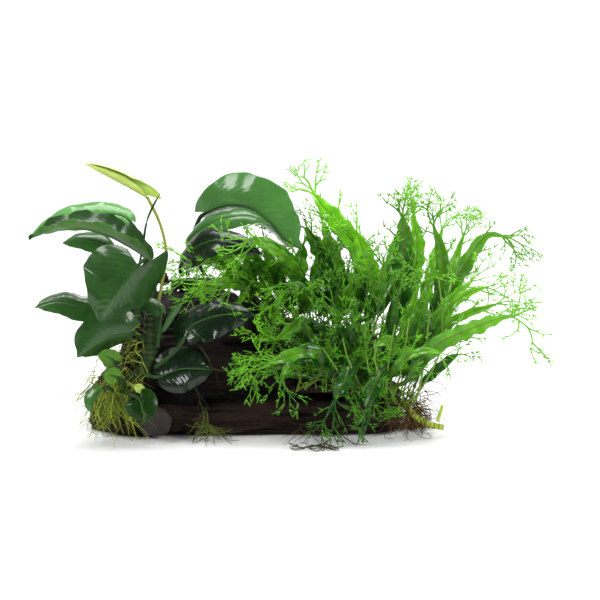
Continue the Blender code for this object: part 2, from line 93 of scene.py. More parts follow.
CUT_STALK_RADII = (1.3, 1.4)
STEMS = {"top": (TOP_RHIZOME, 3.7), "front": (FRONT_RHIZOME, 3.5)}
LONG_ROOT = ((-64, 44, -60), (-54, 45, -60), (-40, 34, -60), (-35, 20, -60), (-31, 8, -62), (-32, 2, -64))
FORKED_ROOT = ((-37, 68, -56), (-30, 58, -56), (-25, 49, -56), (-10, 46, -55), (0, 38, -55), (11, 31, -56))
ANUBIAS_LEAVES = (
    ("front", (
      (-84, 88, -66), (-88, 106, -70), (-84, 124, -76), (-79, 136, -84), (-85, 132, -92),
      (-100, 110, -99), (-116, 87, -103)), 4, 72,
     dict(roll=(22, 34), fold=-30, lobe=(28, 6), fullness=1.1)),
    ("arched", (
      (-76, 96, -54), (-77, 118, -53), (-79, 137, -56), (-98, 150, -60), (-114, 157, -61),
      (-132, 161, -60), (-152, 160, -59), (-173, 153, -60)), 2, 42,
     dict(roll=(-75, -75), fold=35, lobe=5, fullness=0.8)),
    ("rear", (
      (-72, 97, -50), (-74, 125, -40), (-92, 167, -26), (-120, 173, -22), (-146, 169, -22),
      (-170, 157, -26)), 2, 27,
     dict(roll=(-30, -30), fold=-15, lobe=4, fullness=0.8)),
    ("curled", (
      (-82, 90, -50), (-92, 120, -46), (-108, 146, -44), (-128, 153, -44), (-146, 150, -44)), 2, 20,
     dict(roll=(-20, -40), fold=-24, lobe=4, fullness=0.7)),
    ("low_left", (
      (-84, 84, -64), (-98, 93, -66), (-112, 97, -67), (-130, 100, -70), (-150, 103, -74),
      (-168, 98, -80)), 2, 26,
     dict(roll=(-38, -30), fold=-20, lobe=5, fullness=0.8)),
    ("mid_left", (
      (-83, 74, -66), (-86, 76, -72), (-91, 77, -77), (-107, 75, -82), (-122, 68, -88),
      (-134, 58, -92)), 2, 46,
     dict(roll=(36, 34), fold=-30, lobe=(4, 8), fullness=0.85)),
    ("inner", (
      (-70, 66, -70), (-68, 84, -71), (-68, 97, -68), (-77, 103, -65), (-90, 102, -62)), 2, 20,
     dict(roll=(-40, -40), fold=-30, lobe=6, fullness=0.9)),
    ("light_underside", (
      (-104, 42, -72), (-103, 50, -74), (-104, 55, -78), (-111, 59, -82), (-118, 60, -85)), 2, 16,
     dict(roll=(190, 190), fold=-15, lobe=2)),
    ("bright_small", (
      (-96, 34, -73), (-98, 38, -78), (-102, 42, -82), (-113, 46, -84)), 2, 15,
     dict(roll=(190, 190), fold=-15, lobe=2, fullness=0.7)),
    ("folded_small", (
      (-104, 30, -73), (-108, 33, -78), (-113, 33, -83), (-122, 24, -86), (-123, 13, -87)), 2, 16,
     dict(roll=(30, 30), fold=-50, fullness=0.7)),
    ("round", (
      (-99, 31, -73), (-93, 29, -80), (-85, 25, -84), (-82, 16, -87), (-80, 5, -88)), 2, 26,
     dict(fold=-6, lobe=5, fullness=1.25)),
    ("torn", (
      (-90, 31, -71), (-90, 35, -74), (-88, 36, -76), (-79, 30, -78)), 2, 9,
     dict(roll=(40, 40), fold=-10, fullness=0.6, stalk=1.0)),
    ("over_wood", (
      (-72, 50, -70), (-57, 62, -72), (-48, 74, -73), (-42, 84, -69), (-20, 92, -66), (7, 92, -62)), 2, 36,
     dict(roll=(34, 14), fold=-18, lobe=(6, 4), fullness=0.9)),
    ("low_wood", (
      (-79, 46, -72), (-75, 43, -74), (-68, 43, -72), (-50, 49, -64), (-26, 48, -59)), 2, 38,
     dict(roll=(12, 10), fold=-10, lobe=4, fullness=0.7)),
    ("big_arch", (
      (-46, 124, 4), (-43, 150, 6), (-37, 168, 4), (-30, 174, 0), (-12, 180, -8), (6, 177, -14),
      (20, 166, -20), (34, 152, -26), (46, 144, -30)), 3, 54,
     dict(roll=(-38, -38), fold=-38, lobe=(12, 12), fullness=0.45)),
    ("ribbed", (
      (-32, 124, 0), (-40, 138, -8), (-46, 150, -16), (-32, 163, -24), (-14, 170, -28), (4, 171, -30),
      (21, 164, -30)), 2, 24,
     dict(roll=(50, 40), fold=-14, lobe=5, fullness=0.7)),
    ("dark", (
      (-50, 124, -2), (-52, 128, -14), (-50, 134, -28), (-38, 147, -42), (-22, 152, -50),
      (-4, 149, -54), (14, 141, -56)), 2, 27,
     dict(roll=(40, 20), fold=-16, lobe=5, fullness=0.7)),
    ("sheath", (
      (-71, 70, -56), (-67, 78, -56), (-60, 92, -56), (-48, 107, -54)), 1, 9,
     dict(roll=(-60, -40), fold=30, fullness=0.5, stalk=1.6)),
    ("new_roll", (
      (-70, 98, -52), (-66, 120, -46), (-63, 142, -42), (-68, 165, -38), (-77, 184, -36),
      (-80, 188, -36), (-100, 199, -38), (-128, 213, -42)), 5, 17,
     dict(roll=(-38, -38), fold=50, lobe=(4, 13), fullness=0.8, stalk=1.3)),
    ("spear_bud", (
      (-80, 97, -56), (-86, 120, -47), (-82, 145, -43), (-79, 165, -44), (-74, 178, -45),
      (-68, 189, -46)), 3, 3.4,
     dict(fold=60, fullness=0.3, stalk=1.0)),
)
FERN_FRONDS = (
    ("tall_left", "top", 0.92, 20, (
      (105, 104, 24), (94, 139, 34), (74, 166, 40), (55, 189, 42), (44, 217, 42)), 15, 24),
    ("tall_middle", "top", 0.95, 0, (
      (107, 104, 13), (98, 134, 15), (89, 158, 15), (80, 180, 14)), 14, 18),
    ("tall_rear", "top", 0.70, 40, (
      (80, 104, 40), (71, 138, 54), (62, 166, 62), (54, 188, 66)), 12, 16),
    ("tall_inner", "top", 0.62, 0, (
      (73, 104, 8), (62, 138, 6), (49, 162, 3), (40, 178, 2)), 12, 14),
    ("upright", "top", 0.985, -20, (
      (120, 84, 0), (125, 116, 0), (127, 146, -2), (126, 171, -4), (126, 188, -5)), 16, 26),
    ("crown", "top", 0.97, 50, (
      (122, 84, 30), (132, 112, 48), (138, 144, 58), (135, 173, 62), (140, 195, 63)), 12, 30),
    ("right_upright", "front", 0.66, 30, (
      (134, 40, -36), (146, 76, -26), (156, 108, -24), (158, 140, -22), (151, 164, -20),
      (151, 187, -20)), 13, 30),
    ("right_curled", "front", 0.72, 60, (
      (136, 36, -22), (150, 84, -6), (170, 122, 0), (190, 153, 2), (206, 155, 2), (234, 142, -2)), 15, 26),
    ("right_wavy", "front", 0.62, 0, (
      (138, 48, -46), (153, 76, -46), (168, 102, -46), (194, 114, -46), (216, 106, -48)), 9, 22),
    ("right_narrow", "front", 0.58, -20, (
      (134, 44, -55), (150, 68, -57), (168, 88, -57), (202, 101, -57), (230, 110, -57)), 8, 22),
    ("right_wide", "front", 0.53, -50, (
      (128, 38, -66), (144, 60, -70), (160, 72, -72), (186, 83, -72), (212, 91, -72),
      (256, 92, -70)), 15, 36),
    ("right_low", "front", 0.47, -50, (
      (116, 44, -68), (128, 58, -76), (143, 63, -80), (156, 61, -82), (174, 50, -82)), 8, 14),
    ("right_rear", "front", 0.76, 90, (
      (138, 44, -8), (151, 90, 18), (166, 130, 36), (175, 156, 43), (185, 174, 46)), 11, 26),
    ("left_over_leaf", "top", 0.24, -60, (
      (42, 104, -16), (40, 130, -30), (20, 148, -52), (2, 152, -56), (-22, 140, -58)), 10, 22),
    ("left_middle", "top", 0.30, -20, (
      (50, 104, 0), (40, 124, -8), (18, 134, -10), (-4, 130, -12)), 9, 20),
    ("left_bright", "top", 0.03, 0, (
      (0, 122, 10), (-14, 131, 16), (-34, 133, 22), (-62, 122, 24)), 8, 30),
    ("left_low", "top", 0.08, -60, (
      (4, 112, -14), (-14, 118, -54), (-34, 117, -62), (-58, 110, -64)), 8, 28),
    ("left_front", "top", 0.36, -70, (
      (48, 98, -30), (48, 110, -40), (38, 117, -44), (20, 104, -50)), 8, 28),
    ("front_spread", "front", 0.10, -60, (
      (62, 46, -62), (56, 63, -70), (38, 60, -76), (20, 54, -78), (-12, 49, -80)), 10, 42),
    ("front_upper", "top", 0.42, -80, (
      (50, 84, -44), (44, 86, -54), (24, 72, -58), (-4, 66, -60)), 9, 32),
    ("front_hanging_thin", "front", 0.05, -60, (
      (44, 44, -66), (36, 52, -84), (30, 44, -88), (32, 34, -89), (39, 13, -89)), 4, 18),
    ("front_hanging_left", "front", 0.30, -60, (
      (90, 48, -60), (86, 54, -68), (79, 38, -76), (72, 24, -80), (70, -4, -80)), 10, 30),
    ("front_hanging_right", "front", 0.40, -60, (
      (113, 50, -62), (109, 46, -70), (101, 30, -76), (98, 16, -80), (100, -4, -80)), 11, 30),
    ("front_pale", "front", 0.44, 0, (
      (118, 60, -54), (114, 70, -58), (105, 67, -62), (97, 54, -66)), 10, 12),
    ("middle_low", "front", 0.34, 0, (
      (97, 60, -54), (93, 78, -60), (87, 88, -64), (74, 93, -66)), 8, 26),
    ("middle", "top", 0.55, -50, (
      (74, 92, -20), (80, 106, -32), (85, 118, -36), (86, 134, -38)), 9, 26),
    ("middle_right", "top", 0.82, -50, (
      (98, 92, -18), (106, 112, -28), (111, 132, -30), (112, 150, -30)), 10, 28),
)

# Details of the wood, as across, up, width, height and depth
WOOD_HOLLOWS = ((18, 79, 13, 4.5, 7), (-6, 70, 16, 2.5, 4), (-46, 62, 15, 2.5, 3.5), (62, 44, 20, 3, 3),
                (-30, 100, 14, 3, 3.5), (-60, 84, 9, 3, 4), (40, 12, 24, 1.4, 2), (-20, 15, 26, 1.2, 2),
                (86, 16, 18, 1.6, 2.5), (-86, 30, 8, 3, 3))
WOOD_KNUCKLES = ((8, 84, 16, 3, 4), (-42, 68, 18, 3, 3), (-20, 55, 22, 3.5, 3), (10, 60, 18, 3, 2.5),
                 (50, 52, 22, 3, 3), (-70, 40, 14, 5, 2.5), (-57, 1, 3, 2, 2.5))
# Splinters on the broken top: across from and to, height, depth, how many, and how long
SPLINTERS = ((-74, -62, 118, -6, 16, 9), (-34, -3, 113, -12, 22, 6), (-60, -36, 110, 6, 14, 5),
             (-108, -96, 70, -30, 10, 6), (96, 116, 46, -20, 14, 6))

# Small fronds between the large ones: stem, where on it, which way it leaves, its tip, how much it bows up,
# the widths of its blade and forked end, and the share of it that is forked
SMALL_FRONDS = (
    ("top", 0.02, -60, (-62, 126, -58), 22, 7, 24, 0.3), ("top", 0.05, -50, (-44, 134, -50), 20, 7, 22, 0.3),
    ("top", 0.09, -70, (-32, 116, -62), 16, 6, 24, 0.3), ("top", 0.12, -40, (-13, 138, -40), 18, 8, 20, 0.28),
    ("top", 0.20, -20, (-4, 162, -26), 12, 8, 22, 0.28), ("top", 0.26, 0, (14, 162, -14), 8, 8, 20, 0.25),
    ("top", 0.06, -80, (-10, 90, -64), 10, 6, 24, 0.35),
    ("top", 0.18, -80, (12, 84, -66), 8, 6, 24, 0.35), ("top", 0.04, -75, (-22, 104, -62), 14, 6, 24, 0.35),
    ("top", 0.30, -60, (28, 106, -52), 10, 6, 20, 0.3), ("top", 0.38, -75, (44, 88, -62), 6, 6, 22, 0.35),
    ("top", 0.24, -80, (24, 68, -68), 10, 6, 24, 0.35), 
    ("front", 0.09, -60, (14, 40, -82), 8, 6, 22, 0.4),
    ("front", 0.16, -50, (44, 54, -80), 8, 7, 24, 0.4),
    ("front", 0.22, -40, (60, 66, -76), 10, 7, 24, 0.35), ("front", 0.30, -40, (80, 68, -76), 8, 7, 24, 0.35),
    ("front", 0.20, -10, (68, 82, -66), 6, 8, 22, 0.3), ("top", 0.46, -50, (56, 106, -44), 4, 8, 22, 0.3),
    ("top", 0.56, -20, (72, 120, -22), 2, 9, 18, 0.25),
    
    ("top", 0.78, -40, (104, 140, -32), 2, 8, 22, 0.25), 
    ("top", 0.94, 30, (134, 188, 36), 2, 9, 22, 0.2), 
    ("front", 0.68, 40, (166, 194, 34), 2, 9, 22, 0.2), 
    ("front", 0.60, 10, (146, 138, -40), 4, 8, 24, 0.25), ("front", 0.66, 20, (202, 134, -12), 22, 8, 20, 0.25),
    ("front", 0.36, -50, (102, 68, -78), 8, 8, 22, 0.4),
    ("front", 0.44, -50, (120, 62, -76), 8, 7, 20, 0.4), ("front", 0.42, -70, (112, 44, -82), 10, 7, 22, 0.4),
    ("front", 0.50, -20, (128, 74, -66), 4, 7, 20, 0.35), ("front", 0.52, -60, (142, 54, -76), 8, 7, 18, 0.35),
    ("front", 0.56, -60, (158, 50, -78), 10, 6, 16, 0.3), ("top", 0.50, 20, (68, 172, 28), 2, 11, 18, 0.2),
    ("top", 0.58, 30, (80, 158, 44), 2, 11, 18, 0.2), ("top", 0.40, 10, (48, 162, 18), 4, 11, 18, 0.2),
    ("top", 0.30, 30, (26, 146, 26), 8, 10, 20, 0.25), ("top", 0.22, 40, (6, 138, 30), 10, 8, 22, 0.28),
    ("top", 0.70, 0, (92, 126, 6), 2, 10, 16, 0.22),
    
    ("front", 0.70, 50, (176, 140, 6), 8, 9, 20, 0.22),
    ("top", 0.80, 50, (104, 150, 52), 4, 9, 20, 0.22), ("top", 0.68, 60, (60, 128, 62), 8, 8, 20, 0.25),
    ("front", 0.34, -40, (92, 58, -78), 8, 7, 26, 0.4), ("front", 0.46, -45, (126, 50, -78), 8, 7, 24, 0.4),
    ("front", 0.26, -40, (72, 52, -80), 8, 7, 26, 0.4), ("front", 0.38, -20, (104, 84, -70), 6, 8, 26, 0.35),
    ("front", 0.28, -15, (84, 92, -66), 6, 8, 26, 0.35), ("front", 0.50, -10, (136, 92, -58), 4, 8, 24, 0.35),
    ("front", 0.32, -80, (98, 16, -86), 14, 5, 22, 0.5), ("front", 0.38, -85, (108, 6, -86), 16, 5, 22, 0.5),
    ("front", 0.46, -80, (122, 20, -84), 12, 5, 22, 0.5), ("front", 0.27, -85, (82, 22, -86), 14, 5, 22, 0.5),
    ("front", 0.42, -80, (114, 30, -84), 12, 5, 22, 0.5), ("front", 0.22, -80, (66, 40, -84), 12, 6, 24, 0.45),
    ("top", 0.92, 60, (130, 140, 62), 6, 8, 20, 0.25), ("top", 0.46, 60, (32, 120, 58), 8, 8, 20, 0.28),
)

# Narrow young fronds in the middle: stem, where on it, how they lean, their lengths, which way they leave,
# and how far back they end
INNER_COUNT = 14
INNER_FRONDS = (
    ("front", (0.30, 0.52), (-78, -20), (50, 92), (-70, -20), (-26, -6)),
    ("front", (0.36, 0.60), (-50, 8), (60, 105), (-50, 10), (-14, 14)),
    ("front", (0.45, 0.72), (-12, 48), (50, 100), (-30, 30), (-12, 16)),
    ("top", (0.25, 0.95), (-42, 32), (45, 80), (-40, 10), (-34, -8)),
    ("top", (0.05, 0.60), (-60, 10), (34, 62), (-70, -20), (-46, -20)),
)

# The middle of the fern's clump as across and height, and how far it reaches, for its painted light and shade
CLUMP_MIDDLE = (78, 88)
CLUMP_REACH = 110
STRAP_FULLNESS = 0.45

# Long stalks at the right that carry no blade where they are seen
BARE_STALKS = (
    ((128, 22, -54), (138, 29, -58), (155, 60, -60), (158, 91, -56), (155, 120, -50)),
    ((130, 20, -52), (137, 25, -58), (143, 52, -62), (146, 77, -58), (148, 96, -52)),
    ((118, 26, -54), (124, 44, -64), (128, 66, -66), (131, 88, -60)),
    ((112, 28, -54), (114, 46, -66), (116, 64, -68), (120, 84, -62)),
    ((104, 28, -54), (100, 44, -68), (97, 60, -70), (96, 78, -64)),
    ((96, 30, -52), (88, 44, -68), (82, 58, -72), (78, 74, -66)),
    ((108, 28, -54), (107, 42, -70), (104, 56, -74), (104, 72, -68)),
    ((90, 30, -52), (78, 42, -66), (70, 54, -72), (62, 66, -68)),
)


# Kinds of face, in the order of each piece's materials
TOP, UNDER, STALK = 0, 1, 2


def unit(vectors):
    return vectors / np.maximum(np.linalg.norm(vectors, axis=-1, keepdims=True), 1e-12)


def seen(*spot):
    """The point at this depth that the viewer sees at this place, in millimetres."""
    across, up, back = spot
    upwards = up - FOOT_BELOW_MIDDLE
    eye = VIEW_MIDDLE + VIEW_DISTANCE * TOWARDS_VIEWER
    ray = -TOWARDS_VIEWER + ((across - VIEW_MIDDLE[0]) * PICTURE_RIGHT + upwards * PICTURE_UP) / VIEW_DISTANCE
    return eye + ray * ((back - eye[1]) / ray[1])


def picture(points):
    """Where the viewer sees these points, as across and up."""
    offset = points - (VIEW_MIDDLE + VIEW_DISTANCE * TOWARDS_VIEWER)
    scale = VIEW_DISTANCE / -(offset @ TOWARDS_VIEWER)
    return (offset @ PICTURE_RIGHT) * scale + VIEW_MIDDLE[0], (offset @ PICTURE_UP) * scale + FOOT_BELOW_MIDDLE


def line_of(spots):
    return [seen(*spot) for spot in spots]


class Line:
    """A Catmull-Rom line through points, with distances along it."""

    def __init__(self, points, steps=LINE_STEPS):
        points = np.asarray(points, float)
        ends = np.vstack([2 * points[0] - points[1], points, 2 * points[-1] - points[-2]])
        t = (np.arange(1, steps + 1) / steps)[:, None]
        parts = [points[:1]]
        for i in range(1, len(ends) - 2):
            a, b, c, d = ends[i - 1 : i + 3]
            bend, turn = 2 * a - 5 * b + 4 * c - d, 3 * b - a - 3 * c + d
            parts.append(0.5 * (2 * b + (c - a) * t + bend * t**2 + turn * t**3))
        self.points = np.vstack(parts)
        lengths = np.linalg.norm(np.diff(self.points, axis=0), axis=1)
        self.travelled = np.concatenate([[0], np.cumsum(lengths)])
        self.marks = self.travelled[::steps]
        self.length = self.travelled[-1]

    def at(self, distance):
        distance = np.clip(distance, 0, self.length)
        return np.stack([np.interp(distance, self.travelled, self.points[:, k]) for k in range(3)], -1)

    def heading(self, distance):
        near = self.length * 0.02
        return unit(self.at(np.minimum(distance + near, self.length)) - self.at(np.maximum(distance - near, 0)))


def across_line(direction, roll):
    """The blade's sideways and upper directions: at no roll its upper side faces the viewer."""
    side = unit(np.cross(direction, TOWARDS_VIEWER))
    upper = unit(np.cross(side, direction))
    c, s = np.cos(roll)[..., None], np.sin(roll)[..., None]
    return side * c + upper * s, upper * c - side * s


class Shape:
    """Quads of one piece in millimetres. Each point has a place: across its blade, along it, and its tone."""

    def __init__(self):
        self.points, self.places, self.faces, self.kinds, self.count = [], [], [], [], 0

    def skin(self, rings, places, kinds):
        """A closed skin over rings of points. Each ring has an even number of points."""
        rows, columns = rings.shape[:2]
        index = np.arange(rows * columns).reshape(rows, columns)
        index = np.concatenate([index, index[:, :1]], 1)
        quads = np.stack([index[:-1, :-1], index[:-1, 1:], index[1:, 1:], index[1:, :-1]], -1).reshape(-1, 4)
        kinds = np.tile(np.broadcast_to(kinds, columns), rows - 1)
        caps = []
        for k in range(columns // 2 - 1):
            quad = [k, k + 1, columns - 2 - k, columns - 1 - k]
            caps.append(quad)
            caps.append([(rows - 1) * columns + i for i in reversed(quad)])
        flat = rings.reshape(-1, 3)
        quads = np.concatenate([quads, np.array(caps)[:, ::-1]])
        a, b, c, d = (flat[quads[:, k]] for k in range(4))
        volume = np.einsum("ij,ij->i", a, np.cross(b, c)).sum() + np.einsum("ij,ij->i", a, np.cross(c, d)).sum()
        if volume < 0:
            quads = quads[:, ::-1]
        self.points.append(flat)
        self.places.append(places.reshape(-1, 3))
        self.faces.append(quads + self.count)
        self.kinds.append(np.concatenate([kinds, np.full(len(caps), kinds[0])]))
        self.count += len(flat)

    def build(self, name, materials, slot, nodes=(), smooth=True):
        points, faces = np.concatenate(self.points) * MM, np.concatenate(self.faces)
        mesh = bpy.data.meshes.new(name)
        mesh.vertices.add(len(points))
        mesh.vertices.foreach_set("co", points.astype(np.float32).ravel())
        mesh.loops.add(faces.size)
        mesh.loops.foreach_set("vertex_index", faces.astype(np.int32).ravel())
        mesh.polygons.add(len(faces))
        mesh.polygons.foreach_set("loop_start", np.arange(0, faces.size, 4, dtype=np.int32))
        mesh.polygons.foreach_set("material_index", np.concatenate(self.kinds).astype(np.int32))
        mesh.polygons.foreach_set("use_smooth", np.full(len(faces), smooth))
        place = mesh.attributes.new("place", "FLOAT_VECTOR", "POINT")
        place.data.foreach_set("vector", np.concatenate(self.places).astype(np.float32).ravel())
        for material in materials:
            mesh.materials.append(material)
        mesh.validate()
        mesh.update()
        piece = bpy.data.objects.new(name, mesh)
        bpy.context.scene.collection.objects.link(piece)
        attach(piece, "root")
        if nodes:
            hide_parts(*nodes)
        return piece


def round_rings(centres, headings, radii, sides):
    """Rings round a line, with their sideways direction kept as steady as it can be."""
    side = np.cross(headings[0], (0.0, 0.0, 1.0))
    if np.linalg.norm(side) < 0.3:
        side = np.cross(headings[0], (0.0, 1.0, 0.0))
    turns = 2 * np.pi * np.arange(sides) / sides
    rings = []
    for centre, heading, radius in zip(centres, headings, radii):
        side = side - heading * side.dot(heading)
        side = side / np.linalg.norm(side)
        upper = np.cross(side, heading)
        rings.append(centre + radius * (np.cos(turns)[:, None] * side + np.sin(turns)[:, None] * upper))
    return np.array(rings)


def tube(shape, points, radii, kind, sides=6, tone=0.5, step=1.5, steps=6, wave=None):
    """A round stem or root along a smooth line through the points."""
    line = Line(points, steps)
    count = max(int(line.length / step), 3)
    distance = np.linspace(0, line.length, count + 1)
    share = distance / line.length
    radius = np.interp(share, np.linspace(0, 1, len(radii)), radii)
    if wave is not None:
        radius = radius * wave(distance)
    rings = round_rings(line.at(distance), line.heading(distance), radius, sides)
    around = np.broadcast_to(np.linspace(0, 1, sides), rings.shape[:2])
    along = np.broadcast_to(distance[:, None], rings.shape[:2])
    tones = tone(rings) if callable(tone) else np.full(rings.shape[:2], tone)
    shape.skin(rings, np.stack([around, along, tones], -1), kind)
    return line


def leaf_width(share, fullness):
    """The half width along an anubias blade: a high fullness gives a heart, a low one a lance."""
    rise = LEAF_RISE - RISE_PER_FULLNESS * fullness
    top = rise / (rise + LEAF_FALL)
    peak = top**rise * (1 - top) ** LEAF_FALL
    return np.maximum(share, 1e-4) ** rise * np.maximum(1 - share, 0) ** LEAF_FALL / peak


def two_sided(shape, middle, thick, places, top, under):
    """A thin closed blade: a grid of points made into an upper and an under side."""
    along = np.gradient(middle, axis=0)
    across = np.gradient(middle, axis=1)
    normal = unit(np.cross(across, along))
    upper = middle + normal * thick[..., None] / 2
    lower = middle - normal * thick[..., None] / 2
    rings = np.concatenate([upper, lower[:, -2:0:-1]], 1)
    spots = np.concatenate([places, places[:, -2:0:-1]], 1)
    columns = middle.shape[1]
    kinds = np.where(np.arange(rings.shape[1]) < columns - 1, top, under)
    shape.skin(rings, spots, kinds)


def rolled(across, along, half, ruffle):
    """A young blade that is still rolled up, one half inside the other, and opens ruffled at its foot."""
    turn = ROLL_TURN * (0.42 + 0.58 * np.clip(along / 0.30, 0, 1)) * np.where(across < 0, 1.25, 1.0)
    radius = ROLL_WIDENS * half[:, None] / turn * np.where(across < 0, 0.9, 1.0)
    bend = np.abs(across) * turn
    return radius * np.sin(bend), radius * (1 - np.cos(bend)) + 3.0 * ruffle * np.clip(1 - along / 0.4, 0, 1)


def anubias_leaf(label, route, blade_from, width, looks, roll=(0, 0), fold=-12, fullness=1.0, lobe=0.0,
                 stalk=1.7):
    """One leaf: a round stalk that runs on as the midrib, and a blade with veins and a wavy edge."""
    rng = np.random.default_rng(sum(map(ord, label)))
    shape = Shape()
    line = Line(line_of(route))
    start, end = line.marks[blade_from], line.marks[-1]
    length = end - start
    rows = int(np.clip(length * 1.1, 30, 90))
    columns = int(np.clip(width * 0.9, 12, 36)) * 2 + 1
    t = np.linspace(0, 1, rows)
    share = 0.006 + 0.994 * (0.35 * t + 0.65 * (0.5 - 0.5 * np.cos(np.pi * t)))
    u = np.linspace(-1, 1, columns)
    u = np.sign(u) * np.abs(u) ** 0.9
    distance = start + length * share
    centre, forward = line.at(distance), line.heading(distance)
    side, upper = across_line(forward, np.radians(roll[0] + (roll[1] - roll[0]) * share))
    half = width / 2 * leaf_width(share, fullness)
    tip = np.clip((share - 0.9) / 0.1, 0, 1)
    half = np.maximum(half * (1 - 0.25 * tip * (1 - tip) * 4), 0.25)
    S, U = np.meshgrid(share, u, indexing="ij")
    lobes = lobe if isinstance(lobe, tuple) else (lobe, lobe)
    swept = np.where(U > 0, lobes[1], lobes[0]) * np.maximum(0, 1 - S / LOBE_REACH) ** 2
    reach = np.abs(U) * half[:, None]
    angle = math.radians(fold)
    waves = rng.uniform(0.9, 1.5) * max(length, 30) / 30
    phase = rng.uniform(0, 6.28, 4)
    edge = np.abs(U) ** 2.2
    ruffle = 0.028 * width * edge * np.where(U > 0, np.sin(waves * 6.28 * S + phase[0]),
                                             np.sin(waves * 5.6 * S + phase[1]))
    ruffle += 0.010 * width * edge * np.sin(waves * 15 * S + phase[2] + 2 * U)
    veins = 5 + length / 9
    vein_phase = (S - 0.30 * np.abs(U) ** 1.5) * veins
    quilt = 0.0018 * width * np.cos(2 * np.pi * vein_phase) * np.minimum(1, np.abs(U) * 5) * (1 - edge)
    groove = -0.35 * np.exp(-((U * half[:, None]) / 1.1) ** 2)
    lift = np.sin(angle) * reach + ruffle + quilt + groove
    # the blade's halves arch between the midrib and the edge
    arch = -math.copysign(0.16, fold if fold else -1) * half[:, None] * np.sin(np.pi * np.abs(U)) * 0.5
    lift = lift + arch
    sideways = reach * math.cos(angle)
    if label == "new_roll":
        sideways, lift = rolled(U, S, half, ruffle)
    middle = (centre[:, None] + side[:, None] * (np.sign(U) * sideways)[..., None]
              + upper[:, None] * lift[..., None]
              - forward[:, None] * (swept * np.abs(U) ** LOBE_CURVE)[..., None])
    thick = 0.5 - 0.3 * np.abs(U) ** 4
    tone = np.full(S.shape, LEAF_TONES.get(label, 0.5))
    two_sided(shape, middle, thick, np.stack([U, S, tone], -1), TOP, UNDER)
    reach_of_rib = start + length * 0.93
    distance = np.concatenate([np.linspace(0, start, 26), np.linspace(start, reach_of_rib, 40)[1:]])
    centre, forward = line.at(distance), line.heading(distance)
    roll_here = np.radians(roll[0] + (roll[1] - roll[0]) * np.clip((distance - start) / length, 0, 1))
    side, upper = across_line(forward, roll_here)
    on_blade = np.clip((distance - start) / length, 0, 1)
    radius = stalk * (1 - 0.22 * np.clip(distance / max(start, 1), 0, 1))
    joint = np.exp(-(((distance - start * 0.86) / max(start * 0.08, 3)) ** 2))
    radius = radius * (1 + 0.22 * joint) * np.where(distance > start, (1 - on_blade) ** 0.8 * 0.62 + 0.05, 1)
    blend = np.clip((distance - start + 6) / 10, 0, 1)
    sunk = centre - upper * (radius * 0.55 * blend)[:, None]
    turns = 2 * np.pi * np.arange(10) / 10
    rings = sunk[:, None] + radius[:, None, None] * (
        np.cos(turns)[None, :, None] * side[:, None] + np.sin(turns)[None, :, None] * upper[:, None])
    around = np.broadcast_to(turns / 6.28, rings.shape[:2])
    spots = np.stack([around, np.broadcast_to(distance[:, None], around.shape),
                      np.broadcast_to(on_blade[:, None], around.shape)], -1)
    shape.skin(rings, spots, STALK)
    node = "anubias_leaf_" + label
    return shape.build("leaf_" + label, looks["materials"], looks["slot"], [node])


def ribbon(shape, centres, sides, uppers, halves, thick, tone):
    """A thin flat strip with a lens-shaped section, for one branch of a fern's forked end."""
    halves = np.array(halves)[:, None]
    centres, sides, uppers = np.array(centres), np.array(sides), np.array(uppers)
    flat = np.minimum(halves * 0.5, thick)
    rings = np.stack([centres - sides * halves, centres + uppers * flat,
                      centres + sides * halves, centres - uppers * flat], 1)
    count = len(centres)
    places = np.zeros((count, 4, 3))
    places[..., 0] = np.array([0.9, 0.5, 0.9, 0.5])
    places[..., 1] = np.linspace(0, 1, count)[:, None]
    places[..., 2] = np.asarray(tone).reshape(-1, 1) if np.ndim(tone) else tone
    shape.skin(rings, places, TOP)


def painted_clump_light(across, up):
    """Painted light and shade on the fronds: darker inside and under the clump, lighter towards its outside."""
    away = np.minimum(np.hypot(across - CLUMP_MIDDLE[0], up - CLUMP_MIDDLE[1]) / CLUMP_REACH, 1.15)
    return 0.44 * away - 0.42 * np.clip(1 - up / 72, 0, 1)


def tone_at(point, base):
    """A fork's tone, with the painted clump light and shade added."""
    return float(np.clip(base + 0.10 + painted_clump_light(point[0], point[2]), 0, 1))


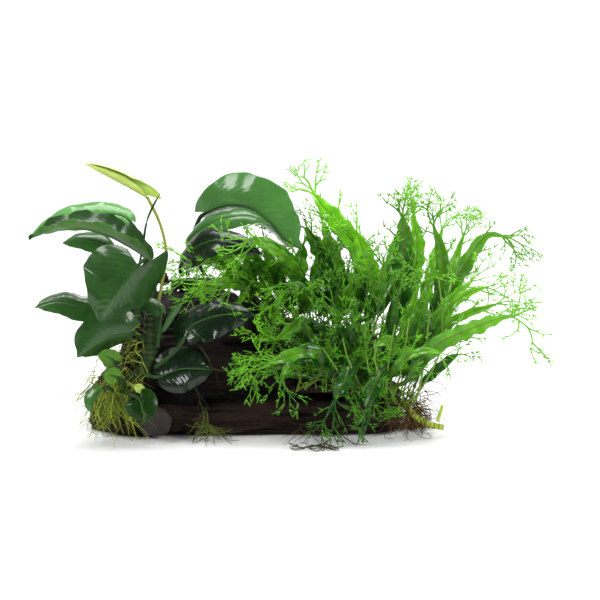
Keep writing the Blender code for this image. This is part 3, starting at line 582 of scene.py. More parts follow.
def branch(shape, rng, start, forward, upper, half, length, depth, base):
    """A slender flat branch that bends away from each prong it carries, and ends in a small fork."""
    steps = max(3, round(length / 1.6))
    bend, lift = rng.gauss(0, 0.050), rng.gauss(0, 0.042)
    centres, sides, uppers, halves = [], [], [], []
    spot, heading, up = start, forward, upper
    turn = rng.choice((-1, 1))
    apart = (8.5, 14.0) if depth > 1 else (7.5, 12.0)
    after = rng.uniform(0.5, 1.0) * apart[0]
    prongs = []
    for k in range(steps + 1):
        share = k / steps
        side = up.cross(heading).normalized()
        centres.append(spot[:])
        sides.append(side[:])
        uppers.append(up[:])
        here = half * (1 - 0.38 * share) * (1 + 0.10 * math.sin(2.1 * k + length))
        if not depth and share > 0.98:
            here *= 0.55
        halves.append(here)
        kick = 0.0
        if depth and share * length > after and share < 0.93:
            prongs.append((spot.copy(), heading.copy(), up.copy(), turn, share))
            kick = -turn * rng.uniform(0.08, 0.22)
            turn = -turn if rng.random() < 0.8 else turn
            after += rng.uniform(*apart)
        bent = side * (bend + kick + rng.gauss(0, 0.02)) + up * (lift + rng.gauss(0, 0.02))
        heading = (heading + bent).normalized()
        up = (up - heading * up.dot(heading)).normalized()
        if spot.z < 1.5:
            heading.z = max(heading.z, 0.05)
        spot = spot + heading * (length / steps)
        spot.z = max(spot.z, 1.3)
    ribbon(shape, centres, sides, uppers, halves, 0.26, tone_at(spot, base))
    for place, along, over, way, share in prongs:
        out = rng.uniform(0.34, 0.72) * way
        side = over.cross(along)
        heading = (along * math.cos(out) + side * math.sin(out) + over * rng.gauss(0, 0.12)).normalized()
        over = (over - heading * over.dot(heading)).normalized()
        if depth > 1:
            reach = length * rng.uniform(0.34, 0.66)
            branch(shape, rng, place, heading, over, min(half * 0.80, 0.74), reach, 1, base + 0.04)
        else:
            reach = rng.uniform(3.5, 9.0)
            branch(shape, rng, place, heading, over, min(half * 0.88, 0.62), reach, 0, base + 0.06)
    if depth:
        side = up.cross(heading).normalized()
        for way in (-1, 1):
            out = way * rng.uniform(0.18, 0.48)
            forked = (heading * math.cos(out) + side * math.sin(out) + up * rng.gauss(0, 0.1)).normalized()
            over = (up - forked * up.dot(forked)).normalized()
            reach = length * rng.uniform(0.28, 0.48) if depth > 1 else rng.uniform(3.0, 7.5)
            branch(shape, rng, spot - heading * 0.3, forked, over, max(half * 0.70, 0.55), reach, depth - 1,
                   base + 0.07)


def frond_route(stem, place, turn, route):
    """The two points that start the stalk square on its stem, then the route."""
    spine, radius = STEMS[stem]
    line = Line(line_of(spine))
    centre, heading = line.at(line.length * place), line.heading(line.length * place)
    upward = unit(np.cross(heading, (0, 1, 0)))
    away = unit(np.cross(upward, heading))
    outward = upward * math.cos(math.radians(turn)) + away * math.sin(math.radians(turn))
    first = centre + outward * (radius - 0.6)
    return [first, first + outward * FOOT_LENGTH] + list(route)


def frond_into(shape, rng, path, width, crest, roll, base=0.0, forks=1.0, stalk=FROND_STALK, low=0.5):
    """A frond: a thin stalk, a wavy strap with a dark midrib, forks on its edges and at its end."""
    line = Line(path)
    start, neck, end = line.marks[2] * low, line.marks[-2], line.marks[-1]
    length = neck - start
    rows = int(np.clip(length / 1.7, 16, 80))
    columns = 11
    share = np.linspace(0, 1, rows)
    u = np.linspace(-1, 1, columns)
    distance = start + length * share
    centre, forward = line.at(distance), line.heading(distance)
    side, upper = across_line(forward, np.radians(roll) * distance / end)
    arch = np.sin(np.pi * (BLADE_ENDS + (1 - 2 * BLADE_ENDS) * share)) ** STRAP_FULLNESS
    ease = np.clip(share / 0.42, 0, 1)
    ease = ease * ease * (3 - 2 * ease)
    close = np.clip((1 - share) / 0.16, 0, 1)
    half = 1.12 * width / 2 * arch * (0.10 + 0.90 * ease) * (0.30 + 0.70 * close**0.8)
    S, U = np.meshgrid(share, u, indexing="ij")
    D = S * length
    phase = [rng.uniform(0, 6.28) for _ in range(6)]
    pitch = rng.uniform(11, 18)
    left = 1 + 0.10 * np.sin(D * 6.28 / pitch + phase[0]) + 0.03 * np.sin(D * 6.28 / 4.7 + phase[1])
    right = 1 + 0.10 * np.sin(D * 6.28 / pitch + phase[2]) + 0.03 * np.sin(D * 6.28 / 5.3 + phase[3])
    reach = np.abs(U) * half[:, None] * np.where(U > 0, right, left)
    swing = np.minimum(half[:, None] * 0.30, 1.7)
    ruffle = swing * np.abs(U) ** 1.7 * np.where(U > 0, np.sin(D * 6.28 / (pitch * 1.15) + phase[4]),
                                                 np.sin(D * 6.28 / (pitch * 1.05) + phase[5]))
    blister = 0.16 * np.sin(D * 6.28 / 3.1 - np.abs(U) * 3) * np.sin(np.pi * np.abs(U))
    groove = 0.30 * (1 - np.minimum(1, np.abs(U) * 3))
    lift = math.sin(FROND_FOLD) * reach + ruffle + blister - groove
    middle = (centre[:, None] + side[:, None] * (np.sign(U) * reach * math.cos(FROND_FOLD))[..., None]
              + upper[:, None] * lift[..., None])
    # painted light and shade: darker inside and under the clump, lighter towards its outside
    tone = np.clip(base - 0.08 + painted_clump_light(middle[..., 0], middle[..., 2]) + 0.22 * S, 0, 1)
    two_sided(shape, middle, 0.42 - 0.22 * np.abs(U) ** 3, np.stack([U, S, tone], -1), TOP, UNDER)
    # the stalk runs on under the blade as its midrib
    rib = start + length * 0.96
    steps = np.concatenate([np.linspace(0, start, 14), np.linspace(start, rib, 24)[1:]])
    spots, ways = line.at(steps), line.heading(steps)
    over = across_line(ways, np.radians(roll) * steps / end)[1]
    on_blade = np.clip((steps - start) / length, 0, 1)
    radii = np.where(steps < start, stalk * (1 - 0.3 * steps / start), stalk * (0.62 - 0.45 * on_blade))
    spots = spots - over * (radii * 0.4 * np.clip((steps - start) / 8, 0, 1))[:, None]
    rings = round_rings(spots, ways, radii, 6)
    places = np.zeros((*rings.shape[:2], 3))
    places[..., 1] = steps[:, None]
    places[..., 2] = np.where(steps < start, steps / start * 0.5, 0.5 + 0.5 * on_blade)[:, None]
    shape.skin(rings, places, STALK)
    # forks at the end
    reach = end - neck
    place, way = line.at(np.array([neck]))[0], line.heading(np.array([neck + reach * 0.3]))[0]
    across, over = across_line(way[None], np.array([math.radians(roll)]))
    across, over, way, place = Vector(across[0]), Vector(over[0]), Vector(way), Vector(place)
    fan = math.atan2(crest / 2, reach * 0.9)
    many = 4 if crest > 24 else 3 if crest > 17 else 2
    for k in range(many):
        lean = (k / (many - 1) * 2 - 1) * fan * 0.95 + rng.gauss(0, 0.10)
        heading = (way * math.cos(lean) + across * math.sin(lean) + over * rng.gauss(0, 0.15)).normalized()
        upward = (over - heading * over.dot(heading)).normalized()
        long = max(reach, 14) * (rng.uniform(0.70, 0.98) if abs(lean) < fan * 0.5 else rng.uniform(0.55, 0.8))
        branch(shape, rng, place - way * 1.5, heading, upward, max(min(width * 0.08, 0.92), 0.66), long, 2,
               base + 0.05)
    # forks on the edges
    edges = int(length / 34 * forks)
    for k in range(edges):
        share_here = 0.55 + 0.42 * (k + rng.random()) / max(edges, 1)
        row = min(int(share_here * rows), rows - 2)
        way_side = rng.choice((-1, 1))
        place = Vector(middle[row, -2 if way_side > 0 else 1])
        way, across, over = Vector(forward[row]), Vector(side[row]), Vector(upper[row])
        out = rng.uniform(0.40, 0.75)
        heading = (way * math.cos(out) + across * way_side * math.sin(out) + over * rng.gauss(0, 0.2)).normalized()
        upward = (over - heading * over.dot(heading)).normalized()
        branch(shape, rng, place, heading, upward, 0.75, rng.uniform(6, 14), 1, base + 0.08)


# --- materials

def graph(name):
    made = bpy.data.materials.new(name)
    made.use_nodes = True
    return made, made.node_tree.nodes, made.node_tree.links, made.node_tree.nodes["Principled BSDF"]


def add_node(nodes, kind, **values):
    made = nodes.new(kind)
    for key, value in values.items():
        if key in made.inputs.keys():
            made.inputs[key].default_value = value
        else:
            setattr(made, key, value)
    return made


def maths(nodes, links, operation, a, b=None, c=None, clamp=False):
    made = nodes.new("ShaderNodeMath")
    made.operation = operation
    made.use_clamp = clamp
    for socket, value in zip(made.inputs, (a, b, c)):
        if value is None:
            continue
        if isinstance(value, (int, float)):
            socket.default_value = value
        else:
            links.new(value, socket)
    return made.outputs[0]


def ramp(nodes, links, value, stops):
    made = nodes.new("ShaderNodeValToRGB")
    band = made.color_ramp
    while len(band.elements) < len(stops):
        band.elements.new(0.5)
    for element, (place, colour) in zip(band.elements, stops):
        element.position = place
        element.color = (*colour, 1) if len(colour) == 3 else colour
    links.new(value, made.inputs[0])
    return made.outputs[0]


def mix(nodes, links, factor, a, b, blend="MIX"):
    made = nodes.new("ShaderNodeMix")
    made.data_type = "RGBA"
    made.blend_type = blend
    for socket, value in ((made.inputs[0], factor), (made.inputs[6], a), (made.inputs[7], b)):
        if isinstance(value, (int, float)):
            socket.default_value = value
        elif isinstance(value, tuple):
            socket.default_value = (*value, 1)
        else:
            links.new(value, socket)
    return made.outputs[2]


def noise_of(nodes, links, scale, detail=4, stretch=(1, 1, 1), rough=0.55, distortion=0.0):
    coordinates = nodes.new("ShaderNodeTexCoord")
    mapping = nodes.new("ShaderNodeMapping")
    mapping.inputs["Scale"].default_value = stretch
    links.new(coordinates.outputs["Object"], mapping.inputs[0])
    made = add_node(nodes, "ShaderNodeTexNoise", Scale=scale, Detail=detail, Roughness=rough,
                    Distortion=distortion)
    links.new(mapping.outputs[0], made.inputs["Vector"])
    return made.outputs["Fac"]


def place_of(nodes, links):
    attribute = nodes.new("ShaderNodeAttribute")
    attribute.attribute_name = "place"
    split = nodes.new("ShaderNodeSeparateXYZ")
    links.new(attribute.outputs["Vector"], split.inputs[0])
    return split.outputs


def bump(nodes, links, shader, height, strength, distance):
    made = nodes.new("ShaderNodeBump")
    made.inputs["Strength"].default_value = strength
    made.inputs["Distance"].default_value = distance
    links.new(height, made.inputs["Height"])
    links.new(made.outputs[0], shader.inputs["Normal"])


def blade_material(name, deep, light, vein, veins=12.0, roughness=0.3, coat=0.4, through=0.12, relief=0.35,
                   edge=None, patches=0.5, vein_share=0.2):
    """A leaf's face: veins that leave the midrib and curve forward, blotches, and a waxy gloss."""
    made, nodes, links, shader = graph(name)
    across, along, tone = place_of(nodes, links)[:3]
    away = maths(nodes, links, "ABSOLUTE", across)
    swept = maths(nodes, links, "MULTIPLY", maths(nodes, links, "POWER", away, 1.5), 0.30)
    phase = maths(nodes, links, "MULTIPLY", maths(nodes, links, "SUBTRACT", along, swept), veins)
    wobble = maths(nodes, links, "MULTIPLY", noise_of(nodes, links, 60, 2), 0.25)
    phase = maths(nodes, links, "ADD", phase, wobble)
    def lines(times, narrow):
        wave = maths(nodes, links, "COSINE", maths(nodes, links, "MULTIPLY", phase, 6.2832 * times))
        wave = maths(nodes, links, "MULTIPLY_ADD", wave, 0.5, 0.5)
        return maths(nodes, links, "POWER", wave, narrow)
    main, fine = lines(1, 14), lines(4, 5)
    midrib = maths(nodes, links, "LESS_THAN", away, 0.035)
    blotch = noise_of(nodes, links, 90, 5)
    paler = maths(nodes, links, "MULTIPLY_ADD", maths(nodes, links, "SUBTRACT", blotch, 0.5), patches, tone, clamp=True)
    mixed = mix(nodes, links, paler, deep, light)
    shown = maths(nodes, links, "MULTIPLY_ADD", tone, vein_share, vein_share * 0.22)
    mixed = mix(nodes, links, maths(nodes, links, "MULTIPLY", main, shown), mixed, vein)
    mixed = mix(nodes, links, maths(nodes, links, "MULTIPLY", maths(nodes, links, "MULTIPLY", fine, 0.3), shown),
                mixed, vein)
    mixed = mix(nodes, links, maths(nodes, links, "MULTIPLY", midrib, 0.35), mixed, vein)
    if edge:
        rim = maths(nodes, links, "MULTIPLY", maths(nodes, links, "GREATER_THAN", away, 0.965), 0.7)
        mixed = mix(nodes, links, rim, mixed, edge)
    links.new(mixed, shader.inputs["Base Color"])
    shine = noise_of(nodes, links, 160, 3)
    links.new(maths(nodes, links, "MULTIPLY_ADD", shine, 0.22, roughness - 0.08), shader.inputs["Roughness"])
    shader.inputs["Coat Weight"].default_value = coat
    shader.inputs["Coat Roughness"].default_value = 0.17
    shader.inputs["Coat IOR"].default_value = 1.4
    shader.inputs["Specular IOR Level"].default_value = 0.06
    shader.inputs["Subsurface Weight"].default_value = through
    shader.inputs["Subsurface Radius"].default_value = (0.4, 1.0, 0.15)
    shader.inputs["Subsurface Scale"].default_value = 0.0012
    grain = noise_of(nodes, links, 700, 3)
    dimples = noise_of(nodes, links, 260, 3)
    height = maths(nodes, links, "MULTIPLY_ADD", main, -0.3, maths(nodes, links, "MULTIPLY", grain, 0.25))
    height = maths(nodes, links, "MULTIPLY_ADD", fine, -0.15, height)
    height = maths(nodes, links, "MULTIPLY_ADD", dimples, 0.7, height)
    height = maths(nodes, links, "MULTIPLY_ADD", noise_of(nodes, links, 70, 2), 0.6, height)
    bump(nodes, links, shader, height, relief, 0.0006)
    return made


def frond_material(name, deep, light, rib, under=False):
    """A thin fern blade: its colour follows a tone that carries painted clump light and shade, light comes through it,
    and it is dark along its midrib.
    """
    made, nodes, links, shader = graph(name)
    across, along, tone = place_of(nodes, links)[:3]
    away = maths(nodes, links, "ABSOLUTE", across)
    blotch = noise_of(nodes, links, 110, 5)
    factor = maths(nodes, links, "MULTIPLY_ADD", blotch, 0.7, maths(nodes, links, "SUBTRACT", tone, 0.36))
    body = ramp(nodes, links, factor, ((0.0, deep), (0.55, tuple((a + b) / 2 for a, b in zip(deep, light))),
                                       (1.0, light)))
    veins = maths(nodes, links, "COSINE", maths(nodes, links, "MULTIPLY", maths(
        nodes, links, "SUBTRACT", maths(nodes, links, "MULTIPLY", along, 24), maths(
            nodes, links, "MULTIPLY", away, 3)), 6.2832))
    veins = maths(nodes, links, "POWER", maths(nodes, links, "MULTIPLY_ADD", veins, 0.5, 0.5), 6)
    on_blade = maths(nodes, links, "LESS_THAN", away, 0.88)
    body = mix(nodes, links, maths(nodes, links, "MULTIPLY", veins, 0.14), body, deep)
    core = maths(nodes, links, "SUBTRACT", 1.0, maths(nodes, links, "MULTIPLY", away, 10), clamp=True)
    body = mix(nodes, links, maths(nodes, links, "MULTIPLY", core, 0.85), body, rib)
    links.new(body, shader.inputs["Base Color"])
    shine = noise_of(nodes, links, 200, 3)
    links.new(maths(nodes, links, "MULTIPLY_ADD", shine, 0.3, 0.22), shader.inputs["Roughness"])
    shader.inputs["Coat Weight"].default_value = 0.7
    shader.inputs["Coat Roughness"].default_value = 0.14
    shader.inputs["Coat IOR"].default_value = 1.4
    shader.inputs["Specular IOR Level"].default_value = 0.08
    shader.inputs["Subsurface Weight"].default_value = 0.12
    shader.inputs["Subsurface Radius"].default_value = (0.5, 1.2, 0.12)
    shader.inputs["Subsurface Scale"].default_value = 0.0014
    grain = noise_of(nodes, links, 900, 3)
    dents = noise_of(nodes, links, 240, 2)
    height = maths(nodes, links, "MULTIPLY_ADD", maths(nodes, links, "MULTIPLY", veins, on_blade), -0.5, grain)
    height = maths(nodes, links, "MULTIPLY_ADD", dents, 1.5, height)
    bump(nodes, links, shader, height, 0.35, 0.0006)
    return made


def stalk_material(name, low, high, ring=0.0, ring_colour=(0.05, 0.03, 0.01), rough=0.4, streak=260):
    """A stem: its colour changes along it, with fine lengthwise streaks and, on old stems, ring scars."""
    made, nodes, links, shader = graph(name)
    around, along, tone = place_of(nodes, links)[:3]
    body = mix(nodes, links, tone, low, high)
    blotch = noise_of(nodes, links, streak, 4, (1, 1, 0.35))
    body = mix(nodes, links, ramp(nodes, links, blotch, ((0.42, (0, 0, 0)), (0.75, (0.5, 0.5, 0.5)))), body,
               tuple(c * 0.45 for c in low))
    height = blotch
    if ring:
        uneven = maths(nodes, links, "MULTIPLY", noise_of(nodes, links, 150, 2), 0.5)
        wave = maths(nodes, links, "ADD", maths(nodes, links, "DIVIDE", along, ring), uneven)
        wave = maths(nodes, links, "POWER", maths(nodes, links, "MULTIPLY_ADD", maths(
            nodes, links, "COSINE", maths(nodes, links, "MULTIPLY", wave, 6.2832)), 0.5, 0.5), 9)
        body = mix(nodes, links, maths(nodes, links, "MULTIPLY", wave, 0.75), body, ring_colour)
        height = maths(nodes, links, "MULTIPLY_ADD", wave, -0.7, blotch)
    links.new(body, shader.inputs["Base Color"])
    links.new(maths(nodes, links, "MULTIPLY_ADD", blotch, 0.25, rough - 0.1), shader.inputs["Roughness"])
    shader.inputs["Specular IOR Level"].default_value = 0.2
    shader.inputs["Subsurface Weight"].default_value = 0.1
    shader.inputs["Subsurface Radius"].default_value = (0.6, 1.0, 0.2)
    shader.inputs["Subsurface Scale"].default_value = 0.001
    bump(nodes, links, shader, height, 0.4, 0.0006)
    return made


def wood_material(name):
    """Wet old wood: near-black, with long wavy grain, redder low down, a painted sheen on upward-facing ridges, and
    painted shade in the recess and hollows.
    """
    made, nodes, links, shader = graph(name)
    # places: redness, painted ridge sheen, and painted shade in the recess and hollows
    red, ridge_sheen, deep = place_of(nodes, links)[:3]
    fibre = noise_of(nodes, links, 120, 8, (0.12, 1, 1), 0.65, 0.6)
    broad = noise_of(nodes, links, 26, 4, (0.35, 1, 1), 0.55, 0.3)
    body = ramp(nodes, links, broad, ((0.25, (0.0020, 0.0015, 0.0014)), (0.55, (0.0055, 0.0036, 0.0030)),
                                      (0.85, (0.012, 0.0078, 0.0065))))
    body = mix(nodes, links, maths(nodes, links, "MULTIPLY", red, 0.8), body, (0.022, 0.0105, 0.0070))
    streaks = ramp(nodes, links, fibre, ((0.35, (0, 0, 0)), (0.75, (1, 1, 1))))
    body = mix(nodes, links, maths(nodes, links, "MULTIPLY", streaks, 0.40), body, (0.034, 0.021, 0.0165))
    grooves = ramp(nodes, links, fibre, ((0.30, (1, 1, 1)), (0.45, (0, 0, 0))))
    body = mix(nodes, links, maths(nodes, links, "MULTIPLY", grooves, 0.9), body, (0.0010, 0.0008, 0.0008))
    # painted sheen: greyer where the ridges face upwards
    body = mix(nodes, links, maths(nodes, links, "MULTIPLY", ridge_sheen, 0.5), body, (0.034, 0.027, 0.030))
    # painted shade: near-black in the recess and hollows
    body = mix(nodes, links, deep, body, (0.0008, 0.0006, 0.0006))
    links.new(body, shader.inputs["Base Color"])
    links.new(maths(nodes, links, "MULTIPLY_ADD", broad, 0.35, 0.32), shader.inputs["Roughness"])
    fine = noise_of(nodes, links, 420, 6, (0.1, 1, 1), 0.7)
    height = maths(nodes, links, "MULTIPLY_ADD", fibre, 1.0, maths(nodes, links, "MULTIPLY", fine, 0.4))
    shader.inputs["Specular IOR Level"].default_value = 0.12
    bump(nodes, links, shader, height, 1.0, 0.0034)
    return made


def sawn_material(name):
    """A weathered saw cut with faint year rings and saw marks."""
    made, nodes, links, shader = graph(name)
    sideways, upright, out = place_of(nodes, links)[:3]
    wobble = maths(nodes, links, "MULTIPLY", noise_of(nodes, links, 140, 3), 1.6)
    rings = maths(nodes, links, "SINE", maths(nodes, links, "MULTIPLY", maths(
        nodes, links, "ADD", out, wobble), 5.2))
    rings = maths(nodes, links, "MULTIPLY_ADD", rings, 0.5, 0.5)
    body = mix(nodes, links, rings, (0.019, 0.013, 0.010), (0.038, 0.027, 0.022))
    dirt = noise_of(nodes, links, 170, 6)
    body = mix(nodes, links, ramp(nodes, links, dirt, ((0.4, (0, 0, 0)), (0.65, (0.8, 0.8, 0.8)))), body,
               (0.018, 0.013, 0.011))
    links.new(body, shader.inputs["Base Color"])
    links.new(maths(nodes, links, "MULTIPLY_ADD", dirt, 0.3, 0.55), shader.inputs["Roughness"])
    marks = noise_of(nodes, links, 500, 3, (0.15, 1, 1))
    height = maths(nodes, links, "MULTIPLY_ADD", rings, 0.4, marks)
    bump(nodes, links, shader, height, 0.6, 0.0008)
    return made


# --- wood

def periodic(points, steps):
    """A closed Catmull-Rom loop through rows of points, along axis 1."""
    t = (np.arange(steps) / steps)[:, None, None, None]
    a, b, c, d = (np.roll(points, shift, axis=1)[None] for shift in (1, 0, -1, -2))
    made = 0.5 * (2 * b + (c - a) * t + (2 * a - 5 * b + 4 * c - d) * t**2 + (3 * b - a - 3 * c + d) * t**3)
    return np.moveaxis(made, 0, 2).reshape(points.shape[0], -1, 3)


def wood_grid():
    """The log as rings of points, from the solid's sections."""
    rings = []
    for across, top, low, depth in WOOD_STATIONS:
        ring = []
        for tall, short in zip(TALL_SECTION, LOW_SECTION):
            back, height = (tall[k] + (short[k] - tall[k]) * low for k in range(2))
            ring.append((across, back * depth, height * top))
        rings.append(ring)
    rings = periodic(np.array(rings, float), 12)
    along = []
    marks = rings[:, 0, 0]
    wanted = np.linspace(marks[0], marks[-1], 250)
    spots = [Line(rings[:, k], 10) for k in range(rings.shape[1])]
    for line in spots:
        along.append(np.stack([np.interp(wanted, line.points[:, 0], line.points[:, k]) for k in range(3)], -1))
    grid = np.stack(along, 1)
    # round the two ends off
    ends = []
    for which, way in ((0, -1), (-1, 1)):
        middle = grid[which].mean(0)
        middle[2] = max(middle[2] * 0.8, 3)
        caps = []
        for k in range(1, 15):
            shrink = math.cos(k / 15 * math.pi / 2) ** 0.8
            bulge = 5.0 * math.sin(k / 15 * math.pi / 2)
            ring = middle + (grid[which] - middle) * shrink + np.array([way * bulge, 0, 0])
            caps.append(ring)
        ends.append(np.array(caps))
    return np.concatenate([ends[0][::-1], grid, ends[1]])


def field(points, scale, octaves, offset=0.0):
    """Turbulent noise at points, which is stretched along the wood by unequal scales."""
    scaled = points / np.array(scale) + offset
    return np.array([noise.fractal(Vector(p), 0.9, 2.1, octaves) for p in scaled.reshape(-1, 3)]).reshape(
        points.shape[:-1])


def driftwood():
    grid = wood_grid()
    normal = unit(np.cross(np.gradient(grid, axis=1), np.gradient(grid, axis=0)))
    outward = grid - grid.mean(1, keepdims=True)
    normal = normal * np.sign((normal * outward).sum(-1).mean())
    across, up = picture(grid)
    front = np.clip(-normal[..., 1] * 2.5, 0, 1)
    warp = field(grid, (60, 30, 30), 2, 7.0)
    bent = grid + np.stack([warp * 0, warp * 5, warp * 7], -1)
    ridges = 1 - 2.2 * np.abs(field(bent, (95, 11, 9), 3))
    fibres = 1 - 2.0 * np.abs(field(bent, (60, 4.2, 3.6), 2, 3.0))
    broad = field(grid, (70, 28, 28), 3, 11.0)
    push = 2.4 * ridges + 1.1 * fibres + 3.2 * broad - 1.6
    # the recess above the front ledge, and the hollow under a ridge, pressed in and also painted near-black as shade
    recess = np.exp(-(((up - 27 - 2.5 * np.sin(across / 23)) / 5.5) ** 2)) * front
    recess *= np.clip((across + 84) / 14, 0, 1) * np.clip((112 - across) / 20, 0, 1)
    push -= 5.5 * recess
    # the hollows' colour mask is painted shade
    hollow_shade = np.zeros_like(push)
    for place_across, place_up, wide, tall, deep in WOOD_HOLLOWS:
        hollow = np.exp(-(((across - place_across) / wide) ** 2 + ((up - place_up) / tall) ** 2) ** 1.5) * front
        hollow_shade = np.maximum(hollow_shade, hollow)
        push -= deep * hollow
    for place_across, place_up, wide, tall, proud in WOOD_KNUCKLES:
        knuckle = np.exp(-((across - place_across) / wide) ** 2 - ((up - place_up) / tall) ** 2) * front
        push += proud * knuckle
    flat_below = np.clip(grid[..., 2] / 3, 0, 1)
    moved = grid + normal * (push * flat_below)[..., None]
    moved[..., 2] = np.maximum(moved[..., 2], 0)
    lower = np.clip((27 - up) / 6, 0, 1) * front
    red = np.clip(lower * 0.9 + 0.35 * broad, 0, 1)
    # painted sheen: this mask is lighter on ridges that face upwards
    ridge_sheen = np.clip((normal[..., 2] - 0.35) * 1.6, 0, 1) * np.clip(ridges * 1.4, 0, 1) * 0.75
    ridge_sheen = ridge_sheen * np.clip((150 - across) / 60, 0, 1)
    shape = Shape()
    # colour places: redder low at the front, painted ridge sheen, painted shade in the recess and hollows
    shape.skin(moved, np.stack([red, ridge_sheen, np.clip(0.85 * recess + hollow_shade, 0, 1)], -1), 0)
    rng = random.Random(5)
    for low, high, height, back, number, reach in SPLINTERS:
        for _ in range(number):
            root = Vector(seen(rng.uniform(low, high), height + rng.uniform(-2, 1.5), back + rng.uniform(-7, 7)))
            tip = root + Vector((rng.gauss(0, 3), rng.gauss(0, 2.5), rng.uniform(0.5, 1) * reach))
            bend = (root + tip) / 2 + Vector((rng.gauss(0, 0.8), rng.gauss(0, 0.8), 0))
            tube(shape, [root, bend, tip], (rng.uniform(0.9, 1.8), 0.9, 0.15), 0, 4, 0.0, 1.2, 3)
    shape.build("driftwood_log_bark", [MATERIALS["wood"]], "driftwood", ["driftwood_log"])
    stub()


def stub():
    """The sawn face: a disc with a chipped rim, standing a little proud of the wood."""
    centre = seen(*STUB_PLACE)
    turns = np.linspace(0, 2 * np.pi, 72, endpoint=False)
    rings, places = [], []
    rim = 1 + 0.02 * np.sin(3 * turns + 1) + 0.012 * np.sin(8 * turns)
    profile = [(0.02, 0.0), (0.2, 0), (0.4, 0), (0.6, 0), (0.8, 0), (0.93, 0.05), (0.985, 0.5), (1.0, 1.4),
               (1.0, 3.4), (1.0, STUB_LENGTH - 0.4), (0.9, STUB_LENGTH), (0.3, STUB_LENGTH)]
    for share, depth in profile:
        radius = STUB_RADIUS * share * (rim if share > 0.7 else 1)
        x, z = radius * np.cos(turns), radius * np.sin(turns)
        rough = np.array([noise.noise(Vector((a / 4, b / 4, 3.0))) for a, b in zip(x, z)]) * 0.35 if share < 0.97 else 0
        ring = centre + np.stack([x, np.full(72, depth - STUB_LENGTH / 2) + rough, z], -1)
        ring[:, 2] = np.maximum(ring[:, 2], STUB_UNDERSIDE)
        rings.append(ring)
        places.append(np.stack([x, z, np.full(72, STUB_RADIUS * share)], -1))
    shape = Shape()
    shape.skin(np.array(rings), np.array(places), 0)
    shape.build("driftwood_sawn_stub", [MATERIALS["sawn"]], "sawn_wood", ["driftwood_stub"])


# --- stems and roots

def rhizomes():
    rng = random.Random(11)
    for name, route, radii, look, slot_name, ring in (
            ("anubias_rhizome_left", LEFT_RHIZOME, LEFT_RADII, "rhizome", "green_stem", 4.5),
            ("anubias_rhizome_back", BACK_RHIZOME, BACK_RADII, "rhizome", "green_stem", 4.5),
            ("fern_rhizome_top", TOP_RHIZOME, TOP_RADII, "brown_rhizome", "brown_root", 5.0),
            ("fern_rhizome_front", FRONT_RHIZOME, FRONT_RADII, "yellow_rhizome", "yellow_green_stem", 3.5)):
        shape = Shape()
        depth = 0.025 if look in ("yellow_rhizome", "rhizome") else 0.06
        wave = lambda d, ring=ring, depth=depth: 1 + depth * np.sin(d * 6.28 / ring) + 0.05 * np.sin(d * 1.1)
        if look == "yellow_rhizome":
            radii = [radius * 0.8 for radius in radii]
        tone = (lambda rings: np.clip((rings[..., 0] - 122) / 12, 0, 1)) if look == "yellow_rhizome" else 0.5
        line = tube(shape, line_of(route), radii, 0, 16, tone, 0.7, 12, wave)
        # old leaf scars, and short fine roots
        for _ in range(int(line.length / 5)):
            distance = rng.uniform(0.05, 0.95) * line.length
            centre, heading = Vector(line.at(distance)), Vector(line.heading(distance))
            out = Vector((rng.gauss(0, 1), rng.gauss(0, 1), rng.gauss(0, 1)))
            out = (out - heading * out.dot(heading)).normalized()
            radius = float(np.interp(distance / line.length, np.linspace(0, 1, len(radii)), radii))
            base = centre + out * (radius * 0.8)
            tube(shape, [base, base + out * 0.5, base + out * 0.9 + heading * 0.3], (1.0, 0.8, 0.4), 0, 6,
                 tone if callable(tone) else 0.2, 0.6, 3)
        shape.build(name + "_stem", [MATERIALS[look]], slot_name, [name])
    shape = Shape()
    tube(shape, line_of(CUT_STALK), (*CUT_STALK_RADII, 1.2), 0, 12, 0.7, 0.8)
    shape.build("fern_cut_stalk_end", [MATERIALS["cut_stalk"]], "yellow_green_stem", ["fern_cut_stalk"])


def wander(shape, rng, start, heading, length, radius, pull, tone, kind=0, keep=None, twigs=0):
    """A thin root that wanders, is pulled by weight, and creeps along the ground where it meets it."""
    spot, heading = Vector(start), Vector(heading).normalized()
    spot.z = max(spot.z, radius + 0.3)
    points = [spot.copy()]
    steps = max(int(length / 3), 3)
    drift = Vector((rng.gauss(0, 0.12), rng.gauss(0, 0.12), rng.gauss(0, 0.05)))
    for _ in range(steps):
        drift = drift * 0.8 + Vector((rng.gauss(0, 0.13), rng.gauss(0, 0.13), rng.gauss(0, 0.08)))
        heading = (heading + drift + Vector((0, 0, -pull))).normalized()
        if keep is not None:
            centre, reach = keep
            offset = spot - centre
            off = Vector((offset.x / reach[0], offset.y / reach[1], offset.z / reach[2]))
            if off.length > 0.92:
                heading = (heading - off.normalized() * 0.8).normalized()
        spot = spot + heading * (length / steps)
        if spot.z < radius + 0.3:
            spot.z = radius + 0.3 + rng.random() * 0.3
            heading.z = abs(heading.z) * 0.1
        points.append(spot.copy())
    tube(shape, points, (radius, radius * 0.8, radius * 0.35), kind, 5, tone, 1.5, 3)
    for _ in range(twigs):
        k = rng.randrange(1, len(points) - 1)
        way = (points[k + 1] - points[k]).normalized()
        out = Vector((rng.gauss(0, 1), rng.gauss(0, 1), rng.gauss(0, 0.6))).normalized()
        wander(shape, rng, points[k], way + out * 0.9, length * rng.uniform(0.2, 0.4), radius * 0.6, pull, tone, kind,
               keep)


